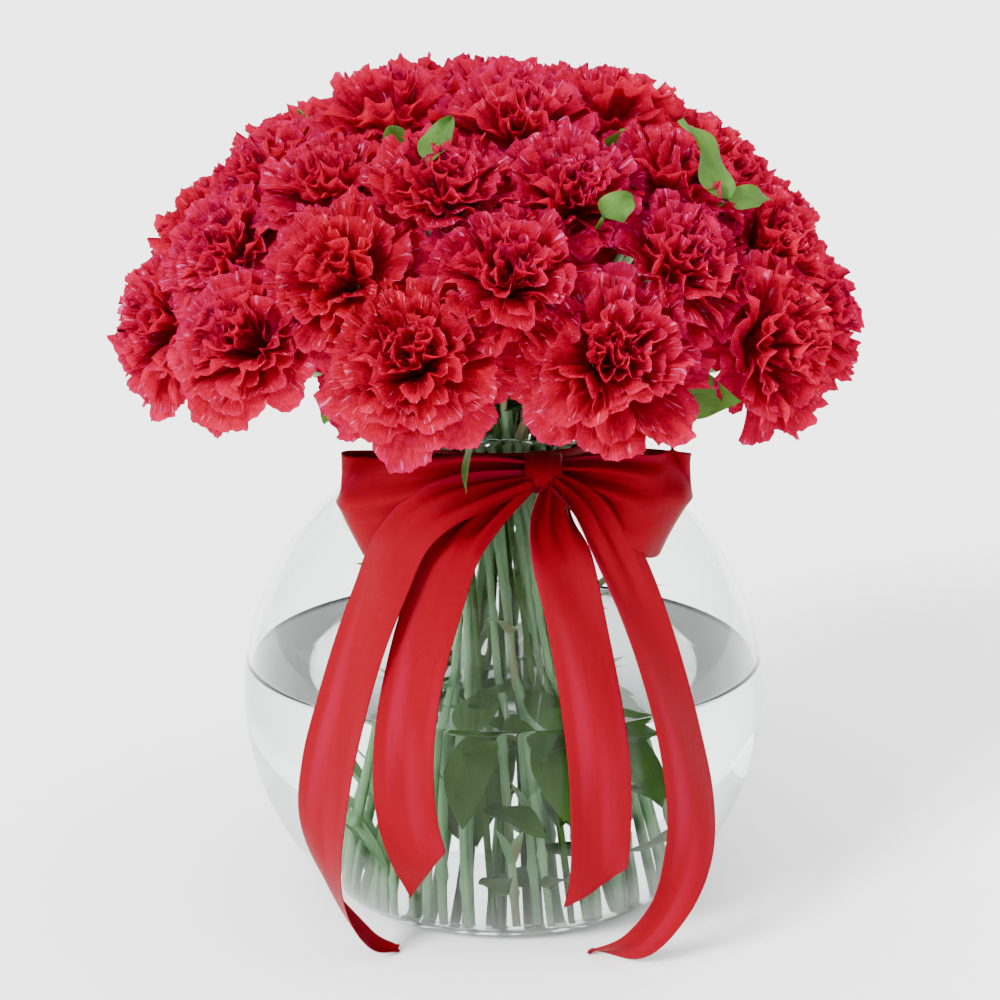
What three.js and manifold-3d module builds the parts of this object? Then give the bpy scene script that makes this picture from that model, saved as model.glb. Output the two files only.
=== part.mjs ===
// Red carnations in a round glass vase of water, with a red satin ribbon tied
// in a bow at the neck. Millimetres, Z up, the front at -Y, and the origin at
// the middle of the vase's flat foot. Azimuths are in degrees from the front,
// growing towards +X.

import * as THREE from "three";
import { mergeVertices } from "three/addons/utils/BufferGeometryUtils.js";
import Module from "manifold-3d";

const wasm = await Module();
wasm.setup();

// Vase and water
const GLOBE_RADIUS = 125;
const GLOBE_CENTRE = 98;
const GLASS_WALL = 3;
const GLASS_FLOOR = 8;
const FOOT_RADIUS = 68;
const HEEL_HEIGHT = 5;
const NECK_RADIUS = 49;
const NECK_BOTTOM = 211;
const NECK_TOP = 227;
const RIM_RADIUS = 53;
const RIM_TOP = 232;
const WATER_LEVEL = 116.5;
const LATHE_STEPS = 26;
const FIT_GAP = 0.3;

// Dome of blooms: its middle, the half-axes of the shell that the bloom
// centres lie on, and the rows of blooms from the top down
const DOME = { x: -5, z: 259, across: 152, up: 120 };
const TILT_SHARE = 0.86;
const BLOOM_ROWS = [
  { count: 1, polar: 0, phase: 180, size: 0.96 },
  { count: 5, polar: 21, phase: 10, size: 1 },
  { count: 11, polar: 42, phase: 20, size: 0.93 },
  { count: 11, polar: 60, phase: 3.6, size: 0.92 },
  { count: 11, polar: 77.5, phase: 20, size: 0.99 },
];

// Bloom: height and radius of each layer's edge, and of the core above it
const PETALS = 5;
const PETAL_EDGE = [1, 0.93, 0.76];
const EDGE_SPREAD = 0.03;
const BLOOM_SPIN = 0.7;
const BLOOM_BASE = -16;
const BLOOM_CROWN = 13;
const LAYERS = [
  { edge: 29.5, rise: -4, core: 19, coreRise: 0, ripple: 2.6 },
  { edge: 27, rise: 5, core: 15.5, coreRise: 7, ripple: 2.4 },
  { edge: 21, rise: 12, core: 10, coreRise: 12.5, ripple: 1.8 },
  { edge: 12, rise: 17, ripple: 1.2 },
];

// Stems, from their feet in the water through the pinch at the neck, and how
// far they run straight on from the pinch and straight down from the bloom
const STEM_RADIUS = 2.2;
const STEM_SIDES = 4;
const PINCH_HEIGHT = 198;
const PINCH_RADIUS = 25;
const STEM_TWIST = 26;
const STEM_RISE = 48;
const STEM_DROP = 34;
const STEM_SLOTS = [
  { foot: 62, spread: 6, out: 0, aside: 0 },
  { foot: 54, spread: -7, out: 0, aside: -3.5 },
  { foot: 47, spread: 4, out: 0, aside: 3.5 },
  { foot: 68, spread: -9, out: -3.5, aside: 0 },
];
const FOOT_HEIGHT = GLASS_FLOOR + 0.9;
const CALYX_LENGTH = 20;
const CALYX_RADIUS = 6;
const BUNCHES = 11;
const BEND_RINGS = 3;
const CALYX_START = 0.3;
const PAIR_TURN = 0.3;
const HOLE_GAP = 0.4;
const HOLE_DEPTH = 3;

// Leaves
const BLADE_THICKNESS = 1.2;
const NARROW_LEAF = { length: 52, width: 6, droop: 14, outline: [0.5, 1, 0.7] };
const BROAD_LEAF = { length: 42, width: 20, droop: 6, outline: [0.3, 0.9, 1, 0.62] };
const LEAF_FOLD = 0.25;
const NARROW_PAIR = { height: 140, scatter: 12, aside: 10, asideMore: 3, lift: 0.75, liftMore: 0.25 };
const SPRIG_RADIUS = 1.5;
const SPRIG_RISE = 52;
const SPRIG_DROP = 30;
const SPRIG_RINGS = 5;

// Sprigs: the middle ones rise through the dome between the blooms, and the
// outer ones lean out over the rim below them
const MIDDLE_SPRIG = { foot: 14, pinch: 1.2, below: 12, length: 38 };
const MIDDLE_SPRIGS = [
  { azimuth: -29, polar: 31, leafAzimuth: -20, leafHeight: 84 },
  { azimuth: 38, polar: 32, leafAzimuth: 60, leafHeight: 100 },
  { azimuth: 118, polar: 28, leafAzimuth: 150, leafHeight: 78 },
  { azimuth: -96, polar: 31, leafAzimuth: -110, leafHeight: 96 },
];
const OUTER_SPRIG = { foot: 58, pinch: 34, leafShare: 0.45 };
const OUTER_SPRIGS = [
  { azimuth: 36.4, aim: 36.4, reach: 116, height: 258, lift: 0.42 },
  { azimuth: 3.6, aim: -7, reach: 84, height: 246, lift: -0.2 },
  { azimuth: -29.1, aim: -29.1, reach: 116, height: 256, lift: 0.4 },
  { azimuth: 167.3, aim: 167.3, reach: 112, height: 252, lift: 0.3 },
];

// Ribbon: sizes of the strip, and the knot's middle
const RIBBON_WIDTH = 28;
const RIBBON_THICKNESS = 0.8;
const LONG_RINGS = 14;
const SHORT_RINGS = 10;
const BAND_INSET = { low: 2, high: 1 };
const BAND_THICKNESS = 1.2;
const KNOT = { x: 18, y: -58.3, z: 219, across: 11, deep: 11.5, high: 8.5 };

const MATERIALS = {
  glass: new THREE.MeshStandardMaterial({ color: 0xdfe6e8, roughness: 0.05, metalness: 0 }),
  water: new THREE.MeshStandardMaterial({ color: 0xb9cfcf, roughness: 0.05, metalness: 0 }),
  petal: new THREE.MeshStandardMaterial({ color: 0xc8142e, roughness: 0.6, metalness: 0 }),
  stem: new THREE.MeshStandardMaterial({ color: 0x7f9b62, roughness: 0.6, metalness: 0 }),
  leaf: new THREE.MeshStandardMaterial({ color: 0x3c6b35, roughness: 0.5, metalness: 0 }),
  satin: new THREE.MeshStandardMaterial({ color: 0xd40f1c, roughness: 0.35, metalness: 0 }),
};

// Repeatable draw between -1 and 1 for one quantity of one piece
function draw(piece, quantity) {
  const value = Math.sin(piece * 12.9898 + quantity * 78.233) * 43758.5453;
  return 2 * (value - Math.floor(value)) - 1;
}

function radians(degrees) {
  return (degrees * Math.PI) / 180;
}

// Point at a distance from the vase's axis, an azimuth and a height
function around(radius, azimuth, height) {
  const angle = radians(azimuth);
  return new THREE.Vector3(radius * Math.sin(angle), -radius * Math.cos(angle), height);
}

// Part of a direction that is square to another, at length one
function square(direction, to) {
  return direction.clone().addScaledVector(to, -direction.dot(to)).normalize();
}

// Closed surface through rings of points, each end closed on a point of its own
function loft(rings, first, last) {
  const sides = rings[0].length;
  const points = [...rings.flat(), first, last];
  const start = rings.length * sides;
  const index = [];
  for (let ring = 0; ring + 1 < rings.length; ring++) {
    for (let side = 0; side < sides; side++) {
      const a = ring * sides + side;
      const b = ring * sides + ((side + 1) % sides);
      index.push(a, b, b + sides, a, b + sides, a + sides);
    }
  }
  for (let side = 0; side < sides; side++) {
    const next = (side + 1) % sides;
    index.push(start, next, side, start + 1, start - sides + side, start - sides + next);
  }
  const geometry = new THREE.BufferGeometry().setFromPoints(points);
  geometry.setIndex(index);
  return geometry;
}

function solidOf(geometry) {
  const shape = geometry.clone();
  shape.deleteAttribute("normal");
  shape.deleteAttribute("uv");
  const merged = mergeVertices(shape, 1e-4);
  return new wasm.Manifold(new wasm.Mesh({
    numProp: 3,
    vertProperties: new Float32Array(merged.attributes.position.array),
    triVerts: new Uint32Array(merged.index.array),
  }));
}

function geometryOf(solid) {
  const mesh = solid.getMesh();
  const geometry = new THREE.BufferGeometry();
  geometry.setAttribute("position", new THREE.BufferAttribute(mesh.vertProperties, 3));
  geometry.setIndex(new THREE.BufferAttribute(mesh.triVerts, 1));
  return geometry;
}

function fuse(geometries) {
  return geometries.map(solidOf).reduce((sum, solid) => sum.add(solid));
}

// Ring of points round a centre, square to the way the tube runs
function tubeRing(centre, along, side, radius) {
  const u = square(side, along);
  const v = along.clone().cross(u);
  return Array.from({ length: STEM_SIDES }, (_, index) => {
    const angle = (2 * Math.PI * index) / STEM_SIDES;
    return centre.clone()
      .addScaledVector(u, radius * Math.cos(angle))
      .addScaledVector(v, radius * Math.sin(angle));
  });
}

// Tube through points, with a radius at each
function tube(points, radii, side) {
  const rings = points.map((point, index) => {
    const before = points[Math.max(index - 1, 0)];
    const after = points[Math.min(index + 1, points.length - 1)];
    const along = after.clone().sub(before).normalize();
    return tubeRing(point, along, side, radii[index]);
  });
  return loft(rings, points[0], points[points.length - 1]);
}

// Points of an arc of the globe between two heights, for a lathe profile
function globeArc(radius, fromHeight, toHeight, steps) {
  const from = Math.acos((GLOBE_CENTRE - fromHeight) / radius);
  const to = Math.acos((GLOBE_CENTRE - toHeight) / radius);
  return Array.from({ length: steps + 1 }, (_, index) => {
    const angle = from + ((to - from) * index) / steps;
    return new THREE.Vector2(radius * Math.sin(angle), GLOBE_CENTRE - radius * Math.cos(angle));
  });
}

// Height at which a sphere of this radius narrows to a neck
function shoulderHeight(radius, neck) {
  return GLOBE_CENTRE + Math.sqrt(radius * radius - neck * neck);
}

function turned(profile) {
  return new THREE.LatheGeometry(profile, LATHE_STEPS).rotateX(Math.PI / 2);
}

function vase() {
  const inner = GLOBE_RADIUS - GLASS_WALL;
  const neckInner = NECK_RADIUS - GLASS_WALL;
  const outerShoulder = shoulderHeight(GLOBE_RADIUS, NECK_RADIUS + 6);
  const innerShoulder = shoulderHeight(inner, neckInner + 4);
  return turned([
    new THREE.Vector2(0, 0),
    new THREE.Vector2(FOOT_RADIUS, 0),
    ...globeArc(GLOBE_RADIUS, HEEL_HEIGHT, outerShoulder, 8),
    new THREE.Vector2(NECK_RADIUS, NECK_BOTTOM),
    new THREE.Vector2(NECK_RADIUS, NECK_TOP),
    new THREE.Vector2(RIM_RADIUS, RIM_TOP - 1.5),
    new THREE.Vector2(RIM_RADIUS - 1.5, RIM_TOP),
    new THREE.Vector2(RIM_RADIUS - 4, RIM_TOP - 1),
    new THREE.Vector2(neckInner, NECK_TOP - 2),
    new THREE.Vector2(neckInner, NECK_BOTTOM),
    ...globeArc(inner, WATER_LEVEL, innerShoulder, 4).reverse(),
    ...globeArc(inner, GLASS_FLOOR, WATER_LEVEL, 4).reverse().slice(1),
    new THREE.Vector2(0, GLASS_FLOOR),
  ]);
}

// Water with a straight hole for each stem and the room for each leaf in it
function water(hollows) {
  const body = turned([
    new THREE.Vector2(0, GLASS_FLOOR + FIT_GAP),
    ...globeArc(GLOBE_RADIUS - GLASS_WALL - FIT_GAP, GLASS_FLOOR + FIT_GAP, WATER_LEVEL, 4),
    new THREE.Vector2(0, WATER_LEVEL),
  ]);
  return geometryOf(hollows.reduce((rest, hollow) => rest.subtract(solidOf(hollow)), solidOf(body)));
}

// Point of the shell that the bloom centres lie on
function shell(azimuth, polar) {
  const angle = radians(polar);
  const point = around(DOME.across * Math.sin(angle), azimuth, DOME.z + DOME.up * Math.cos(angle));
  point.x += DOME.x;
  return point;
}

// Place, axis and size of each bloom, row by row
function bloomPlaces() {
  const places = [];
  for (const row of BLOOM_ROWS) {
    for (let step = 0; step < row.count; step++) {
      const azimuth = row.phase + (360 * step) / row.count;
      const centre = shell(azimuth, row.polar);
      const tilt = radians(row.polar * TILT_SHARE);
      const axis = around(Math.sin(tilt), azimuth, Math.cos(tilt));
      places.push({ azimuth, centre, axis, size: row.size, seed: places.length + 1 });
    }
  }
  return places;
}

// Ring of a bloom: round for the core, notched and waved for a layer's edge
function bloomRing(radius, rise, layer, seed, waved) {
  const steps = PETALS * PETAL_EDGE.length;
  return Array.from({ length: steps }, (_, index) => {
    const angle = (2 * Math.PI * (index + layer * 1.5)) / steps;
    if (!waved) {
      return new THREE.Vector3(radius * Math.cos(angle), radius * Math.sin(angle), rise);
    }
    const quantity = index + 40 * layer;
    const notch = PETAL_EDGE[index % PETAL_EDGE.length] * (1 + EDGE_SPREAD * draw(seed, quantity));
    const reach = radius * Math.min(notch, 1);
    const wave = LAYERS[layer].ripple * draw(seed + 60, quantity);
    return new THREE.Vector3(reach * Math.cos(angle), reach * Math.sin(angle), rise + wave);
  });
}

// Bloom along its own axis, then turned and moved to its place on the dome
function bloom(place) {
  const rings = [];
  LAYERS.forEach((layer, index) => {
    rings.push(bloomRing(layer.edge, layer.rise, index, place.seed, true));
    if (layer.core) {
      rings.push(bloomRing(layer.core, layer.coreRise, index, place.seed, false));
    }
  });
  const base = new THREE.Vector3(0, 0, BLOOM_BASE);
  const crown = new THREE.Vector3(0, 0, BLOOM_CROWN);
  const geometry = loft(rings, base, crown);
  const turn = new THREE.Quaternion().setFromUnitVectors(new THREE.Vector3(0, 0, 1), place.axis);
  geometry.rotateZ(place.seed * BLOOM_SPIN).scale(place.size, place.size, place.size);
  return geometry.applyQuaternion(turn).translate(...place.centre);
}

// Number of the bunch whose stems stand nearest to a bloom
function bunchOf(place) {
  const spacing = 360 / BUNCHES;
  const lastRow = BLOOM_ROWS[BLOOM_ROWS.length - 1];
  const steps = Math.floor((place.azimuth - lastRow.phase) / spacing + 0.55);
  return ((steps % BUNCHES) + BUNCHES) % BUNCHES;
}

function bunchAzimuth(bunch) {
  return BLOOM_ROWS[BLOOM_ROWS.length - 1].phase + (360 * bunch) / BUNCHES;
}

// Stem's foot, its place at the pinch, and its curve up to the bloom
function stemRoute(place, bunch, slot) {
  const azimuth = bunchAzimuth(bunch);
  const layout = STEM_SLOTS[slot];
  const foot = around(layout.foot, azimuth + STEM_TWIST + layout.spread, FOOT_HEIGHT);
  const aside = around(1, azimuth + 90, 0);
  const pinch = around(PINCH_RADIUS + layout.out, azimuth, PINCH_HEIGHT).addScaledVector(aside, layout.aside);
  const rise = pinch.clone().sub(foot).normalize();
  const top = place.centre.clone().addScaledVector(place.axis, (BLOOM_BASE - FIT_GAP) * place.size);
  const neck = top.clone().addScaledVector(place.axis, -CALYX_LENGTH);
  const bend = new THREE.CubicBezierCurve3(
    pinch,
    pinch.clone().addScaledVector(rise, STEM_RISE),
    neck.clone().addScaledVector(place.axis, -STEM_DROP),
    neck,
  );
  return { foot, pinch, rise, aside, bend, neck, top, axis: place.axis };
}

function stem(route) {
  const curve = route.bend.getPoints(BEND_RINGS).slice(1);
  const swell = route.neck.clone().lerp(route.top, CALYX_START);
  const points = [route.foot, route.pinch, ...curve, swell, route.top];
  const radii = [...points.slice(2).map(() => STEM_RADIUS), CALYX_RADIUS * 0.85, CALYX_RADIUS];
  return tube(points, radii, route.aside);
}

// Straight hole in the water for a stem, open at both ends
function hole(foot, rise, radius, aside) {
  const below = foot.clone().addScaledVector(rise, -HOLE_DEPTH);
  const above = foot.clone().addScaledVector(rise, WATER_LEVEL);
  return tube([below, above], [radius + HOLE_GAP, radius + HOLE_GAP], aside);
}

// Leaf blade from its root along a direction, arched over and folded at the rib
function blade(root, direction, shape, grow = 0) {
  const { length, width, droop, outline } = shape;
  const across = new THREE.Vector3(-direction.y, direction.x, 0).normalize();
  const at = (share) => root.clone()
    .addScaledVector(direction, share * length)
    .add(new THREE.Vector3(0, 0, -droop * share * share));
  const rings = outline.map((spread, index) => {
    const share = index / outline.length;
    const along = at(share + 0.05).sub(at(share)).normalize();
    const normal = along.clone().cross(across);
    const half = (width / 2) * spread + grow;
    const thick = BLADE_THICKNESS / 2 + grow;
    const middle = at(share);
    const edge = middle.clone().addScaledVector(normal, half * LEAF_FOLD);
    return [
      edge.clone().addScaledVector(across, half),
      middle.clone().addScaledVector(normal, thick),
      edge.clone().addScaledVector(across, -half),
      middle.clone().addScaledVector(normal, -thick),
    ];
  });
  return loft(rings, at(-0.02 - grow / length), at(1 + grow / length));
}

// Pair of narrow leaves from a stem's joint, one to each side
function narrowPair(route, azimuth, height, seed) {
  const share = (height - route.foot.z) / (route.pinch.z - route.foot.z);
  const root = route.foot.clone().lerp(route.pinch, share);
  return [-1, 1].map((side) => {
    const aside = side * (NARROW_PAIR.aside + NARROW_PAIR.asideMore * draw(seed, side + 5));
    const lift = NARROW_PAIR.lift + NARROW_PAIR.liftMore * draw(seed, side + 9);
    return blade(root, around(1, azimuth + aside, lift).normalize(), NARROW_LEAF);
  });
}

// Bunch of stems held together where they press through the neck
function bunches(places) {
  return Array.from({ length: BUNCHES }, (_, bunch) => {
    const own = places.filter((place) => bunchOf(place) === bunch).reverse();
    const routes = own.map((place, slot) => stemRoute(place, bunch, slot));
    const azimuth = bunchAzimuth(bunch) + STEM_TWIST * PAIR_TURN;
    const height = NARROW_PAIR.height + NARROW_PAIR.scatter * draw(bunch, 3);
    const leaves = bunch % 2 ? [] : narrowPair(routes[0], azimuth, height, bunch);
    return { routes, solid: fuse([...routes.map(stem), ...leaves]) };
  });
}

function sprigStem(foot, pinch, end, endWay) {
  const rise = pinch.clone().sub(foot).normalize();
  const bend = new THREE.CubicBezierCurve3(
    pinch,
    pinch.clone().addScaledVector(rise, SPRIG_RISE),
    end.clone().addScaledVector(endWay, -SPRIG_DROP),
    end,
  );
  const points = [foot, ...bend.getPoints(SPRIG_RINGS)];
  const aside = new THREE.Vector3(-endWay.y, endWay.x, 0.001).normalize();
  return { foot, rise, aside, geometry: tube(points, points.map(() => SPRIG_RADIUS), aside) };
}

function middleGreens() {
  const pieces = [];
  const hollows = [];
  for (const sprig of MIDDLE_SPRIGS) {
    const polar = radians(sprig.polar);
    const way = around(Math.sin(polar), sprig.azimuth, Math.cos(polar));
    const end = shell(sprig.azimuth, sprig.polar).addScaledVector(way, -MIDDLE_SPRIG.below);
    const foot = around(MIDDLE_SPRIG.foot, sprig.azimuth + STEM_TWIST, FOOT_HEIGHT);
    const pinch = around(MIDDLE_SPRIG.pinch, sprig.azimuth, PINCH_HEIGHT);
    const stalk = sprigStem(foot, pinch, end, way);
    pieces.push(stalk.geometry, blade(end, way, { ...BROAD_LEAF, length: MIDDLE_SPRIG.length }));
    const root = foot.clone().lerp(pinch, (sprig.leafHeight - foot.z) / (pinch.z - foot.z));
    const down = around(0.62, sprig.leafAzimuth, -0.78);
    pieces.push(blade(root, down, BROAD_LEAF));
    hollows.push(hole(foot, stalk.rise, SPRIG_RADIUS, stalk.aside), blade(root, down, BROAD_LEAF, HOLE_GAP));
  }
  return { solid: fuse(pieces), hollows };
}

function outerGreens(sprig) {
  const foot = around(OUTER_SPRIG.foot, sprig.azimuth + STEM_TWIST, FOOT_HEIGHT);
  const pinch = around(OUTER_SPRIG.pinch, sprig.azimuth, PINCH_HEIGHT);
  const end = around(sprig.reach, sprig.aim, sprig.height);
  const way = around(1, sprig.aim, sprig.lift).normalize();
  const stalk = sprigStem(foot, pinch, end, way);
  const root = foot.clone().lerp(pinch, OUTER_SPRIG.leafShare);
  const down = around(0.8, sprig.azimuth + STEM_TWIST * 0.6, -0.6);
  const solid = fuse([stalk.geometry, blade(end, way, BROAD_LEAF), blade(root, down, BROAD_LEAF)]);
  const hollows = [
    hole(foot, stalk.rise, SPRIG_RADIUS, stalk.aside),
    blade(root, down, BROAD_LEAF, HOLE_GAP),
  ];
  return { solid, hollows };
}

// Flat strip along points of the form [x, y, z, width, turn], lying level from
// side to side as seen along the globe unless it is turned about its length
function strip(points, sideOf, steps) {
  const curve = new THREE.CatmullRomCurve3(points.map(([x, y, z]) => new THREE.Vector3(x, y, z)));
  const valueAt = (share, item) => {
    const place = share * (points.length - 1);
    const low = Math.min(Math.floor(place), points.length - 2);
    return THREE.MathUtils.lerp(points[low][item] ?? 0, points[low + 1][item] ?? 0, place - low);
  };
  const rings = Array.from({ length: steps + 1 }, (_, index) => {
    const share = index / steps;
    const centre = curve.getPoint(share);
    const along = curve.getTangent(share);
    const side = square(sideOf(centre, along), along);
    side.applyAxisAngle(along, radians(valueAt(share, 4)));
    const half = side.clone().multiplyScalar(valueAt(share, 3) / 2);
    const thick = along.clone().cross(side).multiplyScalar(RIBBON_THICKNESS / 2);
    return [
      centre.clone().add(half).add(thick),
      centre.clone().sub(half).add(thick),
      centre.clone().sub(half).sub(thick),
      centre.clone().add(half).sub(thick),
    ];
  });
  const ends = [rings[0], rings[steps]].map((ring) => ring[0].clone().lerp(ring[2], 0.5));
  return loft(rings, ...ends);
}

const GLOBE_MIDDLE = new THREE.Vector3(0, 0, GLOBE_CENTRE);
const globeSide = (point, along) => along.clone().cross(point.clone().sub(GLOBE_MIDDLE));
const uprightSide = () => new THREE.Vector3(0, 0, 1);

const LEFT_LOOP = [
  [14, -62, 219, 12],
  [-12, -69, 217, 20],
  [-44, -74, 209, 36],
  [-69, -71, 206, 42],
  [-76, -62, 208, 42],
  [-66, -56, 210, 38],
  [-36, -56, 218, 20],
  [12, -57, 219, 10],
];
const RIGHT_LOOP = [
  [22, -62, 219, 12],
  [44, -69, 217, 22],
  [68, -72, 213, 38],
  [86, -66, 211, 42],
  [89, -56, 211, 42],
  [80, -51, 213, 36],
  [54, -53, 218, 20],
  [24, -57, 219, 10],
];
const LEFT_OUTER_TAIL = [
  [12, -70.2, 218, 9],
  [-12, -80, 215, 20],
  [-31, -87, 209, 26],
  [-45, -92, 196, RIBBON_WIDTH],
  [-54, -100, 176, RIBBON_WIDTH],
  [-63, -106, 152, RIBBON_WIDTH],
  [-71, -109, 124, RIBBON_WIDTH],
  [-78, -107, 94, RIBBON_WIDTH],
  [-81, -105, 64, RIBBON_WIDTH, 10],
  [-75, -106, 34, 24, 35],
  [-61, -99, 10, 14, 50],
  [-48, -91, 1.5, 3, 30],
];
const LEFT_INNER_TAIL = [
  [12, -70.2, 218, 9],
  [-9, -79, 203, 18],
  [-22, -92, 190, 24],
  [-32, -106, 166, RIBBON_WIDTH],
  [-39, -116, 140, RIBBON_WIDTH],
  [-43, -121, 112, RIBBON_WIDTH],
  [-43, -121, 82, RIBBON_WIDTH],
  [-38, -118, 58, 24],
  [-34, -115, 42, 12],
];
const CENTRE_TAIL = [
  [23, -70.2, 218, 9],
  [22, -80, 202, 20],
  [26, -94, 188, RIBBON_WIDTH],
  [32, -107, 164, RIBBON_WIDTH],
  [38, -118, 134, RIBBON_WIDTH],
  [42, -123, 104, RIBBON_WIDTH],
  [43, -123, 74, RIBBON_WIDTH],
  [42, -124, 52, 24],
  [38, -124, 38, 10],
];
const RIGHT_TAIL = [
  [23, -70.2, 218, 9],
  [38, -80, 209, 20],
  [50, -88, 190, 25],
  [61, -97, 166, 25],
  [71, -105, 138, 25],
  [79, -107, 108, 25],
  [84, -106, 78, 25, 5],
  [83, -108, 54, 24, 15],
  [75, -110, 30, 18, 35],
  [60, -106, 10, 14, 55],
  [40, -93, 1.5, 4, 20],
];

function ribbonBow() {
  const inner = NECK_RADIUS + FIT_GAP;
  const outer = inner + BAND_THICKNESS;
  const low = NECK_BOTTOM + BAND_INSET.low;
  const high = NECK_TOP - BAND_INSET.high;
  const band = turned([
    new THREE.Vector2(inner, low),
    new THREE.Vector2(outer, low),
    new THREE.Vector2(outer, high),
    new THREE.Vector2(inner, high),
    new THREE.Vector2(inner, low),
  ]);
  const knot = new THREE.SphereGeometry(1, 10, 6).rotateX(Math.PI / 2);
  knot.scale(KNOT.across, KNOT.deep, KNOT.high).translate(KNOT.x, KNOT.y, KNOT.z);
  const loops = [LEFT_LOOP, RIGHT_LOOP].map((loop) => strip(loop, uprightSide, LONG_RINGS));
  return fuse([band, knot, ...loops]);
}

function part(name, geometry, material) {
  const mesh = new THREE.Mesh(geometry, material);
  mesh.name = name;
  return mesh;
}

function numbered(name, index) {
  return `${name}_${String(index + 1).padStart(2, "0")}`;
}

function arrangement() {
  const group = new THREE.Group();
  const places = bloomPlaces();
  const stemBunches = bunches(places);
  const greens = [middleGreens(), ...OUTER_SPRIGS.map(outerGreens)];
  const stemHoles = stemBunches.flatMap(({ routes }) => routes)
    .map(({ foot, rise, aside }) => hole(foot, rise, STEM_RADIUS, aside));
  const hollows = [...stemHoles, ...greens.flatMap((green) => green.hollows)];
  group.add(part("vase", vase(), MATERIALS.glass));
  group.add(part("water", water(hollows), MATERIALS.water));
  places.forEach((place, index) => {
    group.add(part(numbered("bloom", index), bloom(place), MATERIALS.petal));
  });
  stemBunches.forEach(({ solid }, index) => {
    group.add(part(numbered("stems", index), geometryOf(solid), MATERIALS.stem));
  });
  greens.forEach(({ solid }, index) => {
    group.add(part(numbered("greens", index), geometryOf(solid), MATERIALS.leaf));
  });
  group.add(part("ribbon_bow", geometryOf(ribbonBow()), MATERIALS.satin));
  const leftTails = [
    strip(LEFT_OUTER_TAIL, globeSide, LONG_RINGS),
    strip(LEFT_INNER_TAIL, globeSide, SHORT_RINGS),
  ];
  const rightTails = [
    strip(CENTRE_TAIL, globeSide, SHORT_RINGS),
    strip(RIGHT_TAIL, globeSide, LONG_RINGS),
  ];
  group.add(part("ribbon_tails_left", geometryOf(fuse(leftTails)), MATERIALS.satin));
  group.add(part("ribbon_tails_right", geometryOf(fuse(rightTails)), MATERIALS.satin));
  return group;
}

export default arrangement();
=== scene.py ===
"""Red carnations in a round glass vase of water, tied with a red satin ribbon.

Everything is in metres. Z is up, the front is at -Y, and the origin is the
middle of the vase's flat foot. Azimuths are in degrees from the front, growing
towards +X.
"""

from __future__ import annotations

import logging
import math
from dataclasses import dataclass
from enum import Enum
from typing import Callable, Sequence

import bmesh
import bpy
import numpy as np
from mathutils import Euler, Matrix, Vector

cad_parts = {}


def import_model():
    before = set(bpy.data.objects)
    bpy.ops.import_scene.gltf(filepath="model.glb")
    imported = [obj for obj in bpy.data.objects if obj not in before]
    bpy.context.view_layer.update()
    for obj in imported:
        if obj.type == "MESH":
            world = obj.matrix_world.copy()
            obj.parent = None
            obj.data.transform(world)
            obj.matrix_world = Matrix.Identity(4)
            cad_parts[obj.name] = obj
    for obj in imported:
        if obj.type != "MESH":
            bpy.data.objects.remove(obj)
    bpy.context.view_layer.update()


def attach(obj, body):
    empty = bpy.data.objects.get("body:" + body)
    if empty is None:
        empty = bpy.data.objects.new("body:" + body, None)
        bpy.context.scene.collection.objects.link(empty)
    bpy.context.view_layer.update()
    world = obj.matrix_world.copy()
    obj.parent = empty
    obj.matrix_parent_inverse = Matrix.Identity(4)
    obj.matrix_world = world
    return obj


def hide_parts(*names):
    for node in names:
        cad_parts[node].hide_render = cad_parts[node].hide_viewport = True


log = logging.getLogger("carnations")

Points = np.ndarray
Piece = bpy.types.Object
Socket = bpy.types.NodeSocket
Triple = tuple[float, float, float]
Outline = tuple[tuple[float, float], ...]
Knots = tuple[tuple[float, ...], ...]
ShapeOf = Callable[[Points, Points], Points]

BODY = "root"
MERGE = 1e-6
BLACK = (0.0, 0.0, 0.0)
WHITE = (1.0, 1.0, 1.0)

# Stems stand on the vase's floor and draw together under its neck, turned by some degrees on the way.
FOOT_HEIGHT = 0.0089
PINCH_HEIGHT = 0.198
TWIST = 26.0


def draw(piece: float, quantity: float) -> float:
    """Repeatable draw between -1 and 1 for one quantity of one piece."""
    value = math.sin(piece * 12.9898 + quantity * 78.233) * 43758.5453
    return 2 * (value - math.floor(value)) - 1


def around(radius: float, azimuth: float, height: float) -> Points:
    """Point at a distance from the vase's axis, an azimuth and a height."""
    angle = math.radians(azimuth)
    return np.array([radius * math.sin(angle), -radius * math.cos(angle), height])


def unit(direction: Points) -> Points:
    """Directions scaled to length one along their last axis."""
    return direction / np.maximum(np.linalg.norm(direction, axis=-1, keepdims=True), 1e-12)


def square(direction: Points, to: Points) -> Points:
    """Part of each direction that is square to another, at length one."""
    return unit(direction - np.sum(direction * to, axis=-1, keepdims=True) * to)


def at_height(foot: Points, pinch: Points, height: float) -> Points:
    """Point at a height on the straight line through two points."""
    return foot + (pinch - foot) * (height - foot[2]) / (pinch[2] - foot[2])


def bezier(points: Sequence[Points], share: Points) -> Points:
    """Points of a cubic curve at each share of its way.

    Args:
        points: the curve's four control points.
        share: where to read it, from 0 to 1.

    Returns:
        One point for each share.
    """
    s = share[:, None]
    a, b, c, d = points
    return (1 - s) ** 3 * a + 3 * s * (1 - s) ** 2 * b + 3 * s * s * (1 - s) * c + s ** 3 * d


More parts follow.
